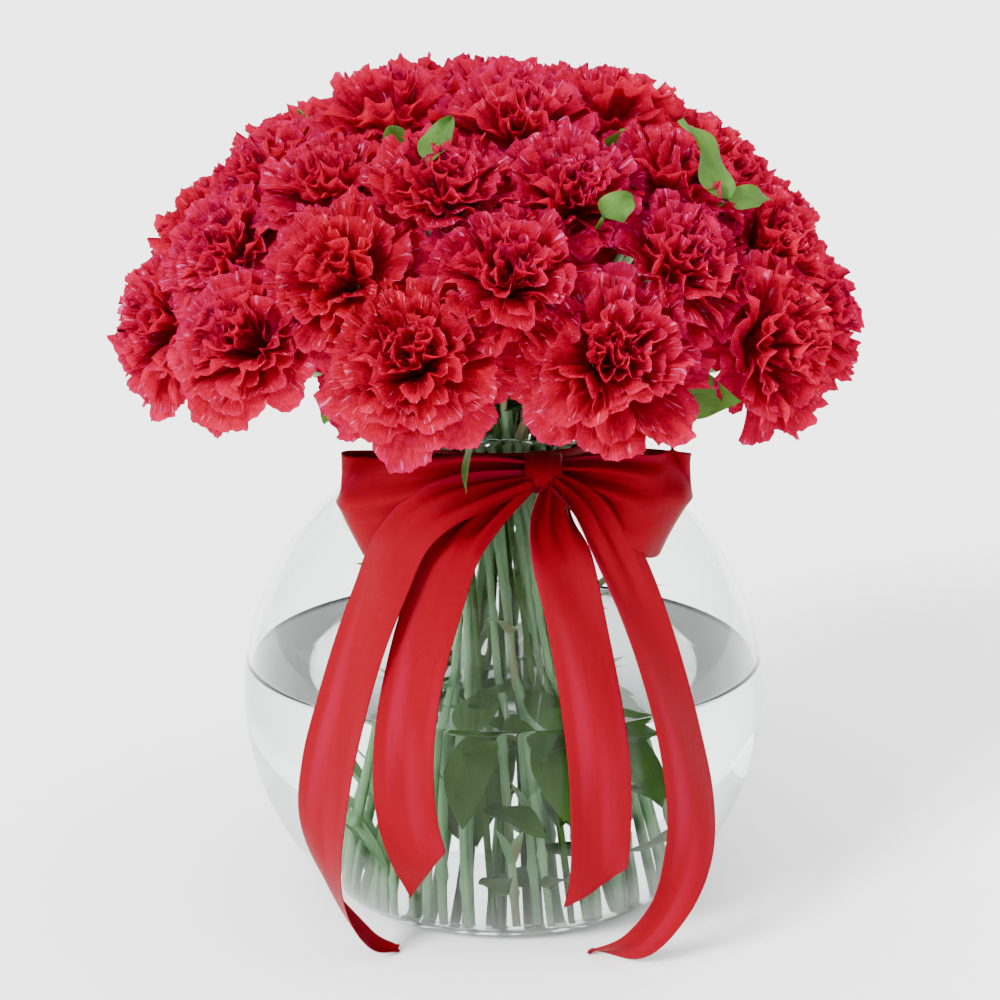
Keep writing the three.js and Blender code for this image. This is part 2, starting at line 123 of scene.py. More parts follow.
def smooth_way(points: Points, share: Points) -> Points:
    """Catmull-Rom interpolation of rows of values, one row per given point.

    Args:
        points: rows of numbers, such as a place and a width.
        share: where to read the curve, from 0 at its first row to 1 at its last.

    Returns:
        One row of values for each share.
    """
    last = len(points) - 1
    padded = np.vstack([2 * points[0] - points[1], points, 2 * points[-1] - points[-2]])
    place = np.clip(share, 0, 1) * last
    low = np.minimum(place.astype(int), last - 1)
    s = (place - low)[:, None]
    p0, p1, p2, p3 = (padded[low + step] for step in range(4))
    return 0.5 * (2 * p1 + (p2 - p0) * s + (2 * p0 - 5 * p1 + 4 * p2 - p3) * s ** 2
                  + (3 * p1 - p0 - 3 * p2 + p3) * s ** 3)


@dataclass(frozen=True)
class Blank:
    """Flat unit sheet that petals, leaves, strips and tubes are shaped from."""

    columns: int
    rows: int

    def mesh(self) -> bpy.types.Mesh:
        """Grid with a UV map, u running across and v along.

        Returns:
            A mesh in the XY plane, one across, with its middle at the origin.
        """
        bm = bmesh.new()
        bm.loops.layers.uv.new("UVMap")
        bmesh.ops.create_grid(bm, x_segments=self.columns, y_segments=self.rows, size=0.5, calc_uvs=True)
        mesh = bpy.data.meshes.new(f"blank_{self.columns}_{self.rows}")
        bm.to_mesh(mesh)
        bm.free()
        return mesh

    @staticmethod
    def shares(mesh: bpy.types.Mesh) -> tuple[Points, Points]:
        """Each vertex's share across and along, from 0 to 1.

        Args:
            mesh: a blank's mesh.

        Returns:
            The shares across and the shares along.
        """
        flat = np.empty(len(mesh.vertices) * 3)
        mesh.vertices.foreach_get("co", flat)
        flat = flat.reshape(-1, 3) + 0.5
        return flat[:, 0], flat[:, 1]


@dataclass
class Form:
    """Copies of one blank, each moved to its own place, and welded if asked."""

    blank: Blank
    shape: ShapeOf
    weld: bool = False


def assemble(name: str, forms: Sequence[Form]) -> Piece:
    """Join the copies of each blank into one object.

    Args:
        name: the object's name.
        forms: blanks with the function that gives the places of their points,
            as an array of one set of points for each copy.

    Returns:
        The object, at the origin, with its place in its mesh.
    """
    bm = bmesh.new()
    bm.loops.layers.uv.new("UVMap")
    for form in forms:
        mesh = form.blank.mesh()
        places = form.shape(*Blank.shares(mesh))
        for points in places.reshape(-1, len(mesh.vertices), 3):
            start = len(bm.verts)
            mesh.vertices.foreach_set("co", points.ravel())
            bm.from_mesh(mesh)
            if form.weld:
                bm.verts.ensure_lookup_table()
                weld_tube(bm, bm.verts[start:])
        bpy.data.meshes.remove(mesh)
    return placed(name, bm)


def placed(name: str, bm: bmesh.types.BMesh) -> Piece:
    """Smooth object at the origin with a bmesh's shape. Frees the bmesh.

    Args:
        name: the object's name.
        bm: its shape.

    Returns:
        The object.
    """
    mesh = bpy.data.meshes.new(name)
    bm.to_mesh(mesh)
    bm.free()
    mesh.shade_smooth()
    piece = bpy.data.objects.new(name, mesh)
    bpy.context.collection.objects.link(piece)
    return piece


def merge_seam(piece: Piece, closed: bool = False) -> None:
    """Merge the seam of a rolled sheet, and close its ends if asked.

    Args:
        piece: the sheet's object.
        closed: whether its two ends are closed as well.
    """
    bm = bmesh.new()
    bm.from_mesh(piece.data)
    bmesh.ops.remove_doubles(bm, verts=bm.verts, dist=MERGE)
    if closed:
        bmesh.ops.holes_fill(bm, edges=[edge for edge in bm.edges if edge.is_boundary], sides=0)
        bmesh.ops.recalc_face_normals(bm, faces=bm.faces)
    bm.to_mesh(piece.data)
    bm.free()
    piece.data.shade_smooth()


def thicken(piece: Piece, thickness: float) -> None:
    """Give a sheet its thickness, half of it on each side.

    Args:
        piece: the sheet's object.
        thickness: how thick it is.
    """
    solidify = piece.modifiers.new("thickness", "SOLIDIFY")
    solidify.thickness = thickness
    solidify.offset = 0


def weld_tube(bm: bmesh.types.BMesh, verts: Sequence[bmesh.types.BMVert]) -> None:
    """Close a tube's seam and its two ends.

    Args:
        bm: the bmesh that holds the tube.
        verts: the tube's own vertices.
    """
    bmesh.ops.remove_doubles(bm, verts=verts, dist=2 * MERGE)
    kept = [vert for vert in verts if vert.is_valid]
    edges = {edge for vert in kept for edge in vert.link_edges if edge.is_boundary}
    bmesh.ops.holes_fill(bm, edges=list(edges), sides=0)


def tube_shape(centres: Points, radii: Points, side: Points, flute: float = 0.0) -> ShapeOf:
    """Shape function that rolls a blank round a line of points.

    Args:
        centres: the line's points.
        radii: the tube's radius at each.
        side: a direction that stays to one side of the tube.
        flute: depth of five shallow flutes, as a share of the radius.

    Returns:
        A function of the blank's shares.
    """
    def shape(u: Points, v: Points) -> Points:
        """Points of the tube for a blank's shares.

        Args:
            u: each point's share round the tube.
            v: each point's share along it.

        Returns:
            One point for each pair of shares.
        """
        rows = np.linspace(0, 1, len(centres))
        middle = np.stack([np.interp(v, rows, centres[:, k]) for k in range(3)], axis=1)
        along = unit(np.gradient(centres, axis=0))
        along = unit(np.stack([np.interp(v, rows, along[:, k]) for k in range(3)], axis=1))
        across = square(np.broadcast_to(side, along.shape), along)
        other = np.cross(along, across)
        angle = 2 * np.pi * u
        radius = np.interp(v, rows, radii) * (1 + flute * np.cos(5 * angle))
        return middle + radius[:, None] * (np.cos(angle)[:, None] * across + np.sin(angle)[:, None] * other)
    return shape


class Paint:
    """Short way to wire the nodes of one material."""

    def __init__(self, name: str) -> None:
        """Start a material with a Principled shader and an output.

        Args:
            name: the material's name.
        """
        self.material = bpy.data.materials.new(name)
        self.material.use_nodes = True
        self.tree = self.material.node_tree
        self.shader = self.tree.nodes["Principled BSDF"]
        self.output = self.tree.nodes["Material Output"]

    def add(self, kind: str, settings: dict[str, object] | None = None,
            **values: object) -> bpy.types.Node:
        """Add a node, set its options, and set or link its inputs by name.

        Args:
            kind: the node's type, without the ShaderNode prefix.
            settings: the node's own options.
            **values: input names, with _ for a space, and values or sockets.

        Returns:
            The node.
        """
        node = self.tree.nodes.new(f"ShaderNode{kind}")
        for key, value in (settings or {}).items():
            setattr(node, key, value)
        for key, value in values.items():
            self.put(node, key.replace("_", " "), value)
        return node

    def put(self, node: bpy.types.Node, key: str | int, value: object) -> None:
        """Link a socket to an input, or set the input's value.

        Args:
            node: the node.
            key: the input's name or number.
            value: a socket to link, or the input's value.
        """
        if isinstance(value, Socket):
            self.tree.links.new(value, node.inputs[key])
        else:
            node.inputs[key].default_value = value

    def set(self, **values: object) -> None:
        """Set or link inputs of the Principled shader."""
        for key, value in values.items():
            self.put(self.shader, key.replace("_", " "), value)

    def ramp(self, share: Socket, stops: Sequence[tuple[float, tuple]]) -> Socket:
        """Colours along a share, as stops of a place and a colour.

        Args:
            share: the value that the colours run along.
            stops: places between 0 and 1 with their colours.

        Returns:
            The colour.
        """
        node = self.add("ValToRGB", Fac=share)
        elements = node.color_ramp.elements
        while len(elements) < len(stops):
            elements.new(0.5)
        for element, (place, colour) in zip(elements, stops):
            element.position = place
            element.color = (*colour, 1)
        return node.outputs["Color"]

    def mask(self, share: Socket, low: float, high: float) -> Socket:
        """Black below one value of a share, white above another."""
        return self.ramp(share, [(low, BLACK), (high, WHITE)])

    def shade(self, colour: Socket, share: Socket, tints: Sequence[tuple[float, Triple]],
              amount: float = 1.0) -> Socket:
        """Colour multiplied by tints that run along a share."""
        return self.mix(amount, colour, self.ramp(share, tints), "MULTIPLY")

    def translucent(self, amount: float, **values: object) -> None:
        """Mix light that shines through into the shader, and connect both.

        Args:
            amount: the share of the translucent shader.
            **values: its inputs, as for a node that is added.
        """
        glow = self.add("BsdfTranslucent", **values)
        both = self.add("MixShader", Fac=amount)
        self.put(both, 1, self.shader.outputs["BSDF"])
        self.put(both, 2, glow.outputs["BSDF"])
        self.put(self.output, "Surface", both.outputs["Shader"])

    def coordinates(self) -> tuple[Socket, Socket]:
        """UV map and Object coordinates of the piece."""
        node = self.add("TexCoord")
        return node.outputs["UV"], node.outputs["Object"]

    def plus(self, value: Socket, other: Socket, amount: float) -> Socket:
        """A value with another added at some strength."""
        return self.math("MULTIPLY_ADD", other, amount, value)

    def noise(self, vector: Socket, scale: float, detail: float = 2.0,
              roughness: float = 0.5) -> Socket:
        """Noise value over a vector."""
        node = self.add("TexNoise", Vector=vector, Scale=scale, Detail=detail, Roughness=roughness)
        return node.outputs["Fac"]

    def scaled(self, vector: Socket, scale: Triple) -> Socket:
        """A vector stretched along its axes."""
        return self.add("Mapping", Vector=vector, Scale=scale).outputs["Vector"]

    def mix(self, share: Socket | float, first: object, second: object,
            blend: str = "MIX") -> Socket:
        """Mix of two colours.

        Args:
            share: how much of the second colour is mixed in.
            first: the first colour.
            second: the second colour.
            blend: the way they are mixed.

        Returns:
            The colour.
        """
        node = self.add("Mix", {"data_type": "RGBA", "blend_type": blend})
        self.put(node, 0, share)
        self.put(node, 6, first)
        self.put(node, 7, second)
        return node.outputs[2]

    def math(self, operation: str, *values: object) -> Socket:
        """Result of a math node.

        Args:
            operation: what the node does.
            *values: its inputs, in their order.

        Returns:
            The result.
        """
        node = self.add("Math", {"operation": operation})
        for index, value in enumerate(values):
            self.put(node, index, value)
        return node.outputs[0]

    def bump(self, height: Socket, distance: float, strength: float = 1.0) -> Socket:
        """Raise the shader's surface by a height, and return the normal.

        Args:
            height: the height over the surface.
            distance: how far a height of one stands out.
            strength: how much of it shows.

        Returns:
            The normal.
        """
        node = self.add("Bump", Height=height, Distance=distance, Strength=strength)
        self.set(Normal=node.outputs["Normal"])
        return node.outputs["Normal"]


@dataclass(frozen=True)
class PetalFinish:
    """Soft red petals, deep in the throat and paler along the cut edge. The pale cut edge is partly painted
    highlight, the pale specks near the rim are painted highlights, and the crinkles carry painted shade and
    highlight.
    """

    throat: Triple = (0.40, 0.0, 0.015)
    body: Triple = (0.37, 0.0, 0.024)
    # Pinker tint at the cut edge, partly the petal's own and partly painted highlight.
    edge: Triple = (0.38, 0.004, 0.055)
    # Pale pink of the specks near the rim: a painted highlight.
    painted_highlight: Triple = (0.66, 0.12, 0.24)
    glow: Triple = (0.74, 0.0, 0.044)

    def material(self) -> bpy.types.Material:
        """Build the material.

        Returns:
            The material.
        """
        paint = Paint("petal")
        uv, place = paint.coordinates()
        along = paint.add("SeparateXYZ", Vector=uv).outputs["Y"]
        veins = paint.noise(paint.scaled(uv, (26, 1.6, 1)), 3.0, 3.0, 0.6)
        rim = paint.plus(along, paint.math("SUBTRACT", veins, 0.5), 0.22)
        # Towards the rim the ramp turns to the edge colour, partly the petal's own and partly painted
        # highlight along the edges.
        colour = paint.ramp(rim, [(0.2, self.throat), (0.6, self.body), (0.9, self.body), (1.0, self.edge)])
        colour = paint.shade(colour, veins, [(0.3, (0.7, 0.6, 0.6)), (0.7, (1.2, 1.2, 1.2))], 0.45)
        # Pale pink specks and strokes near the rim: painted highlights on the crinkled petal edges.
        highlight_strokes = paint.add("VectorMath", {"operation": "ADD"})
        paint.put(highlight_strokes, 0, paint.scaled(uv, (30, 5, 1)))
        paint.put(highlight_strokes, 1, paint.scaled(place, (40, 40, 40)))
        highlight_specks = paint.noise(highlight_strokes.outputs["Vector"], 1.0, 1.0)
        highlight_specks = paint.math("MULTIPLY", paint.mask(highlight_specks, 0.645, 0.70), paint.mask(rim, 0.55, 0.9))
        colour = paint.mix(highlight_specks, colour, (*self.painted_highlight, 1))
        patches = paint.noise(place, 38.0, 2.0)
        colour = paint.shade(colour, patches, [(0.3, (0.8, 0.6, 1.1)), (0.7, (1.15, 1.1, 0.9))], 0.5)
        tone = paint.noise(place, 9.0, 1.0)
        colour = paint.shade(colour, tone, [(0.35, (1.05, 1.0, 0.8)), (0.65, (0.95, 1.0, 1.6))])
        # Darker in the crinkles' hollows and lighter and pinker on their ridges: painted shade and highlight
        # that follow the crinkle bump.
        crinkle = paint.noise(place, 260.0, 1.0)
        colour = paint.shade(colour, crinkle, [(0.36, (0.72, 0.6, 0.6)), (0.64, (1.26, 1.3, 1.3))], 0.6)
        paint.set(Base_Color=colour, Roughness=0.36, Specular_IOR_Level=0.01)
        grain = paint.noise(place, 900.0, 2.0)
        relief = paint.plus(paint.plus(veins, grain, 0.3), crinkle, 1.3)
        normal = paint.bump(relief, 0.0022, 0.9)
        paint.translucent(0.5, Color=(*self.glow, 1), Normal=normal)
        return paint.material


@dataclass(frozen=True)
class GreenFinish:
    """Plant green with a bloom, streaked along the growth."""

    name: str
    deep: Triple
    pale: Triple
    roughness: float
    streak: Triple = (14, 1.2, 1)
    dry: Triple | None = None
    shine: float = 0.5

    def material(self) -> bpy.types.Material:
        """Build the material.

        Returns:
            The material.
        """
        paint = Paint(self.name)
        uv, place = paint.coordinates()
        streaks = paint.noise(paint.scaled(uv, self.streak), 3.0, 3.0, 0.6)
        patches = paint.noise(place, 45.0, 3.0)
        share = paint.plus(paint.math("MULTIPLY", streaks, 0.6), patches, 0.4)
        colour = paint.ramp(share, [(0.32, self.deep), (0.68, self.pale)])
        if self.dry:
            age = paint.noise(paint.scaled(place, (70, 70, 3)), 1.0, 1.0)
            colour = paint.mix(paint.mask(age, 0.60, 0.70), colour, (*self.dry, 1))
        paint.set(Base_Color=colour, Roughness=self.roughness, Specular_IOR_Level=self.shine)
        paint.bump(streaks, 0.0008, 0.6)
        paint.translucent(0.15, Color=(*self.pale, 1))
        return paint.material


@dataclass(frozen=True)
class ClearFinish:
    """Clear glass or water, with its mirror image held back."""

    name: str
    tint: Triple
    ior: float
    mirror: float = 0.12

    def material(self) -> bpy.types.Material:
        """Build the material.

        Returns:
            The material.
        """
        paint = Paint(self.name)
        paint.set(Base_Color=(*self.tint, 1), Roughness=0.0, IOR=self.ior, Transmission_Weight=1.0,
                  Specular_Tint=(self.mirror, self.mirror, self.mirror, 1))
        return paint.material


@dataclass(frozen=True)
class SatinFinish:
    """Red satin, shiny across its close weave, with broad lighter patches painted in as sheen."""

    colour: Triple = (0.145, 0.0, 0.0045)
    # Lighter, pinker red of the painted sheen patches.
    painted_sheen: Triple = (0.215, 0.002, 0.024)

    def material(self) -> bpy.types.Material:
        """Build the material.

        Returns:
            The material.
        """
        paint = Paint("red_satin")
        uv, _ = paint.coordinates()
        weave = paint.noise(paint.scaled(uv, (900, 40, 1)), 1.0, 1.0)
        slub = paint.noise(paint.scaled(uv, (22, 2.0, 1)), 1.0, 2.0)
        sheen_patches = paint.noise(paint.scaled(uv, (1.5, 1.3, 1)), 1.0, 1.0)
        # Broad lighter, pinker patches: painted sheen of the satin.
        colour = paint.mix(paint.mask(sheen_patches, 0.52, 0.78), (*self.colour, 1), (*self.painted_sheen, 1))
        colour = paint.shade(colour, slub, [(0.3, (0.93, 0.9, 0.9)), (0.7, (1.05, 1.05, 1.05))], 0.6)
        paint.set(Base_Color=colour, Roughness=0.34, Anisotropic=0.5, Specular_IOR_Level=0.06,
                  Specular_Tint=(1.0, 0.3, 0.4, 1))
        paint.bump(paint.plus(weave, slub, 0.6), 0.0004, 0.5)
        return paint.material


class Finish(Enum):
    """Finishes that the pieces are dressed in."""

    GLASS = "glass"
    WATER = "water"
    PETAL = "petals"
    STEM = "stems"
    CALYX = "calyxes"
    LEAF = "leaves"
    SATIN = "satin"


class Wardrobe:
    """Makes each finish's material once and dresses pieces in it."""

    def __init__(self) -> None:
        """Build all the materials."""
        self.materials = {
            Finish.GLASS: ClearFinish("clear_glass", (0.955, 0.975, 0.975), 1.47).material(),
            Finish.WATER: ClearFinish("still_water", (0.90, 0.978, 0.952), 1.333).material(),
            Finish.PETAL: PetalFinish().material(),
            Finish.STEM: GreenFinish("pale_stem", (0.07, 0.20, 0.07), (0.40, 0.64, 0.33), 0.5,
                                     dry=(0.28, 0.24, 0.11)).material(),
            Finish.CALYX: GreenFinish("calyx", (0.05, 0.11, 0.03), (0.18, 0.28, 0.09), 0.5).material(),
            Finish.LEAF: GreenFinish("leaf", (0.018, 0.060, 0.008), (0.070, 0.155, 0.018), 0.4,
                                     shine=0.2).material(),
            Finish.SATIN: SatinFinish().material(),
        }

    def dress(self, piece: Piece, finish: Finish, *nodes: str) -> None:
        """Give a piece its material, its body and its nodes.

        Args:
            piece: the object.
            finish: what it is made of.
            *nodes: the nodes of the frame that the piece stands for.
        """
        piece.data.materials.append(self.materials[finish])
        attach(piece, BODY)
        if nodes:
            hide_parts(*nodes)
        log.info("%s: %d faces", piece.name, len(piece.data.polygons))


def shifted(outline: Outline, radius: float, height: float) -> list[tuple[float, float]]:
    """Outline points of radius and height, moved out and up."""
    return [(radius + out, height + up) for out, up in outline]


@dataclass
class Vase:
    """Round vase of clear glass with a thick foot and a short neck.

    The outlines hold steps out and up from the foot, the neck's outside or
    inside at its bottom or top, the floor's middle, or the water's edge.
    """

    globe_radius: float = 0.125
    globe_centre: float = 0.098
    wall: float = 0.003
    floor: float = 0.008
    foot_radius: float = 0.068
    foot_hollow: float = 0.0012
    neck_radius: float = 0.049
    neck_bottom: float = 0.211
    neck_top: float = 0.227
    rim_radius: float = 0.053
    rim_top: float = 0.232
    lip: float = 0.0022
    lip_shift: float = 0.0003
    shoulder: float = 0.006
    inner_shoulder: float = 0.004
    globe_bottom: float = 0.005
    cove: float = 0.003
    water_level: float = 0.1165
    water_wrap: float = 0.00012
    water_depth: float = 0.0001
    water_climb: float = 0.0012
    steps: int = 144
    globe_steps: int = 54
    water_steps: int = 44
    foot_outline: Outline = ((-0.012, 0.001), (-0.004, 0.0), (0.0, 0.0), (0.005, 0.0008), (0.0105, 0.0025))
    neck_foot: Outline = ((0.002, 0.0004), (0.0004, 0.0025), (0.0, 0.005))
    neck_head: Outline = ((0.0, -0.003), (0.0008, 0.0))
    inner_head: Outline = ((0.0008, 0.0), (0.0, -0.004))
    inner_foot: Outline = ((0.0, 0.004), (0.001, 0.0))
    dish: Outline = ((0.0, 0.0), (0.066, 0.0), (0.074, 0.0006))
    water_edge: Outline = ((-0.0006, 0.0006), (-0.0018, 0.0001), (-0.004, 0.0))

    def arc(self, radius: float, low: float, high: float, steps: int) -> list[tuple[float, float]]:
        """Profile points of the globe between two heights.

        Args:
            radius: the globe's radius, outside or inside.
            low: the lower height.
            high: the upper height.
            steps: how many steps the arc has.

        Returns:
            Points of radius and height, from the lower height up.
        """
        start = math.acos((self.globe_centre - low) / radius)
        end = math.acos((self.globe_centre - high) / radius)
        angles = np.linspace(start, end, steps + 1)
        return [(radius * math.sin(a), self.globe_centre - radius * math.cos(a)) for a in angles]

    def globe_height(self, radius: float, out: float) -> float:
        """Height where the globe's upper half is this far from the axis."""
        return self.globe_centre + math.sqrt(radius ** 2 - out ** 2)

    def turned(self, name: str, profile: Sequence[tuple[float, float]]) -> Piece:
        """Turn a profile of radius and height round the upright axis.

        Args:
            name: the object's name.
            profile: points of radius and height, from axis to axis.

        Returns:
            The object.
        """
        bm = bmesh.new()
        verts = [bm.verts.new((radius, 0, height)) for radius, height in profile]
        edges = [bm.edges.new(pair) for pair in zip(verts, verts[1:])]
        bmesh.ops.spin(bm, geom=verts + edges, cent=(0, 0, 0), axis=(0, 0, 1), dvec=(0, 0, 0),
                       angle=2 * math.pi, steps=self.steps, use_merge=True)
        bmesh.ops.remove_doubles(bm, verts=bm.verts, dist=MERGE)
        bmesh.ops.recalc_face_normals(bm, faces=bm.faces)
        return placed(name, bm)

    def glass(self) -> Piece:
        """Outside, rim and inside of the glass in one profile.

        Returns:
            The object.
        """
        inner = self.globe_radius - self.wall
        neck_inner = self.neck_radius - self.wall
        top = self.globe_height(self.globe_radius, self.neck_radius + self.shoulder)
        inner_top = self.globe_height(inner, neck_inner + self.inner_shoulder)
        middle = (self.rim_radius + neck_inner) / 2 + self.lip_shift
        rim = [(middle + self.lip * math.cos(a), self.rim_top - self.lip + self.lip * math.sin(a))
               for a in np.linspace(-0.4, math.pi, 9)]
        return self.turned("vase_glass", [
            (0, self.foot_hollow),
            *shifted(self.foot_outline, self.foot_radius, 0.0),
            *self.arc(self.globe_radius, self.globe_bottom, top, self.globe_steps),
            *shifted(self.neck_foot, self.neck_radius, self.neck_bottom),
            *shifted(self.neck_head, self.neck_radius, self.neck_top),
            *rim,
            *shifted(self.inner_head, neck_inner, self.neck_top),
            *shifted(self.inner_foot, neck_inner, self.neck_bottom),
            *reversed(self.arc(inner, self.floor + self.cove, inner_top, self.globe_steps)),
            *reversed(shifted(self.dish, 0.0, self.floor)),
        ])

    def water(self) -> Piece:
        """Water up to its level, with its edge drawn up the glass.

        Returns:
            The object.
        """
        radius = self.globe_radius - self.wall + self.water_wrap
        level = self.water_level
        side = self.arc(radius, self.floor + self.cove, level + self.water_climb, self.water_steps)
        return self.turned("vase_water", [
            *shifted(self.dish, 0.0, self.floor - self.water_depth),
            *side,
            *shifted(self.water_edge, side[-1][0], level),
            (0, level),
        ])

    def build(self, wardrobe: Wardrobe) -> None:
        """Make the glass and the water and dress them."""
        wardrobe.dress(self.glass(), Finish.GLASS, "vase")
        wardrobe.dress(self.water(), Finish.WATER, "water")


@dataclass(frozen=True)
class Row:
    """One row of blooms on the dome."""

    count: int
    polar: float
    phase: float
    size: float


@dataclass(frozen=True)
class Place:
    """Where one bloom sits and which way it looks."""

    number: int
    azimuth: float
    centre: Points
    axis: Points
    size: float


@dataclass
class Dome:
    """Layout of the blooms, row by row from the top down."""

    middle: tuple[float, float] = (-0.005, 0.259)
    across: float = 0.152
    up: float = 0.120
    tilt_share: float = 0.86
    bunches: int = 11
    rows: tuple[Row, ...] = (
        Row(1, 0, 180, 0.96),
        Row(5, 21, 10, 1.0),
        Row(11, 42, 20, 0.93),
        Row(11, 60, 3.6, 0.92),
        Row(11, 77.5, 20, 0.99),
    )

    def shell(self, azimuth: float, polar: float) -> Points:
        """Point of the shell that the bloom centres lie on.

        Args:
            azimuth: degrees round from the front.
            polar: degrees down from the top.

        Returns:
            The point.
        """
        angle = math.radians(polar)
        point = around(self.across * math.sin(angle), azimuth, self.middle[1] + self.up * math.cos(angle))
        point[0] += self.middle[0]
        return point

    def places(self) -> list[Place]:
        """Place, axis and size of each bloom.

        Returns:
            One place for each bloom, from the top row down.
        """
        places = []
        for row in self.rows:
            for step in range(row.count):
                azimuth = row.phase + 360 * step / row.count
                tilt = math.radians(row.polar * self.tilt_share)
                axis = around(math.sin(tilt), azimuth, math.cos(tilt))
                centre = self.shell(azimuth, row.polar)
                places.append(Place(len(places) + 1, azimuth, centre, axis, row.size))
        return places

    def bunch_azimuth(self, bunch: int) -> float:
        """Azimuth that a bunch of stems stands at in the neck."""
        return self.rows[-1].phase + 360 * bunch / self.bunches

    def bunch_of(self, place: Place) -> int:
        """Number of the bunch whose stems stand nearest to a bloom."""
        steps = math.floor((place.azimuth - self.rows[-1].phase) / (360 / self.bunches) + 0.55)
        return steps % self.bunches


@dataclass(frozen=True)
class Whorl:
    """One ring of petals: their lean where they start and end, and their size."""

    start: float
    end: float
    length: float
    width: float
    count: int
    frill: float


@dataclass
class Bloom:
    """Carnation head: whorls of fringed, ruffled petals."""

    base: float = -0.016
    throat: float = 0.0022
    tooth: float = 0.010
    blank: Blank = Blank(24, 6)
    whorls: tuple[Whorl, ...] = (
        Whorl(50, 106, 0.0385, 0.040, 8, 0.0028),
        Whorl(42, 94, 0.0385, 0.039, 8, 0.0032),
        Whorl(34, 80, 0.0380, 0.036, 8, 0.0034),
        Whorl(25, 62, 0.0370, 0.032, 8, 0.0036),
        Whorl(18, 46, 0.0360, 0.030, 8, 0.0035),
        Whorl(12, 30, 0.0350, 0.028, 8, 0.0034),
        Whorl(8, 12, 0.0340, 0.026, 7, 0.0034),
        Whorl(4, -14, 0.0335, 0.024, 6, 0.0034),
    )
    nod: float = 14.0
    opening: float = 7.0
    swell: float = 1.11
    swell_draw: float = 0.05
    turn_draw: float = 0.16
    tilt_draw: float = 9.0
    tip_tilt: float = 1.4
    claw: float = 0.16
    wrap: float = 0.45
    wrap_radius: float = 0.011

    def petals(self, seed: int, u: Points, v: Points) -> Points:
        """Points of every petal, with the flower's axis along Z.

        Args:
            seed: the bloom's number, which its draws come from.
            u: each point's share across the petal.
            v: each point's share along the petal.

        Returns:
            An array of petals by points by coordinates.
        """
        rng = np.random.RandomState(1000 + seed)
        opened = self.opening * draw(seed, 31)
        sheets = []
        for number, whorl in enumerate(self.whorls):
            phase = rng.uniform(0, 2 * np.pi)
            for petal in range(whorl.count):
                aside = rng.uniform(-self.turn_draw, self.turn_draw)
                turn = phase + 2 * np.pi * (petal + aside) / whorl.count
                tilt = rng.uniform(-self.tilt_draw, self.tilt_draw) + opened
                sheets.append(self.petal(rng, number, phase, turn, tilt, u, v))
        return np.stack(sheets)

    def petal(self, rng: np.random.RandomState, number: int, phase: float, turn: float,
              tilt: float, u: Points, v: Points) -> Points:
        """Points of one petal.

        Args:
            rng: the bloom's source of draws.
            number: the whorl's number, from the outside in.
            phase: angle that the whorl starts at.
            turn: angle that the petal stands at.
            tilt: degrees that the petal leans out past its whorl.
            u: each point's share across the petal.
            v: each point's share along the petal.

        Returns:
            One point for each pair of shares.
        """
        whorl = self.whorls[number]
        start = math.radians(whorl.start + tilt)
        end = math.radians(whorl.end + self.tip_tilt * tilt)
        length = whorl.length * rng.uniform(0.93, 1.05)
        width = whorl.width * rng.uniform(0.88, 1.1)
        fine = np.linspace(0, 1.1, 89)
        theta = start + (end - start) * fine
        reach = self.throat + np.cumsum(np.sin(theta)) * fine[1] * length
        rise = self.base + np.cumsum(np.cos(theta)) * fine[1] * length
        x = 2 * u - 1
        column = np.round(u * self.blank.columns).astype(int)
        teeth = np.where(column % 2 == 0, 1.0, -1.0) * self.tooth * rng.uniform(0.5, 1.2, len(u))
        scallop = 1 + 0.025 * np.sin(rng.uniform(4, 8) * x + phase)
        t = v * (1 - 0.3 * np.abs(x) ** 2.5) * scallop + np.where(v > 0.999, teeth, 0)
        angle = np.interp(t, fine, theta)
        wave = np.pi * (rng.uniform(0.8, 1.4) + 0.04 * number) * x
        shift = rng.uniform(0, 2 * np.pi, 3)
        ripple = (np.sin(wave + shift[0]) + 0.5 * np.sin(2.6 * wave + shift[1])
                  + 0.3 * np.sin(3.7 * wave + shift[2] + 3 * t))
        cup = rng.uniform(-0.12, 0.16)
        lift = whorl.frill * ripple * np.clip(t, 0, 1.1) ** 1.9
        lift += (cup * np.abs(x) - 0.05 * x) * width * t
        spread = width * (self.claw + (1 - self.claw) * np.clip(t, 0, 1) ** 0.95) / 2
        sway = 0.4 * whorl.frill * np.cos(2.6 * wave + shift[1]) * t ** 2
        distance = np.interp(t, fine, reach)
        far = distance - np.cos(angle) * lift
        high = np.interp(t, fine, rise) + np.sin(angle) * lift
        side = x * spread + sway
        way = turn + self.wrap * side / (distance + self.wrap_radius)
        flat = side * (1 - self.wrap)
        return np.stack([
            far * np.cos(way) - flat * np.sin(turn),
            far * np.sin(way) + flat * np.cos(turn),
            high,
        ], axis=1)

    def build(self, place: Place, wardrobe: Wardrobe) -> None:
        """Make one bloom at its place and dress it.

        Args:
            place: the bloom's place.
            wardrobe: the finishes.
        """
        turn = Vector((0, 0, 1)).rotation_difference(Vector(place.axis)).to_matrix()
        nod = [math.radians(self.nod * draw(place.number, 20 + axis)) for axis in range(2)]
        turn = np.array(turn @ Euler((nod[0], nod[1], 0)).to_matrix())
        foot = np.array([0, 0, self.base])
        size = place.size * (self.swell + self.swell_draw * draw(place.number, 23))

        def shape(u: Points, v: Points) -> Points:
            """Petals turned about their foot and moved to the bloom's place."""
            petals = (self.petals(place.number, u, v) - foot) * size
            return petals @ turn.T + place.centre + place.axis * self.base * place.size

        piece = assemble(f"carnation_{place.number:02d}", [Form(self.blank, shape)])
        wardrobe.dress(piece, Finish.PETAL, f"bloom_{place.number:02d}")


@dataclass(frozen=True)
class Slot:
    """How one stem stands within its bunch."""

    foot: float
    spread: float
    out: float
    aside: float


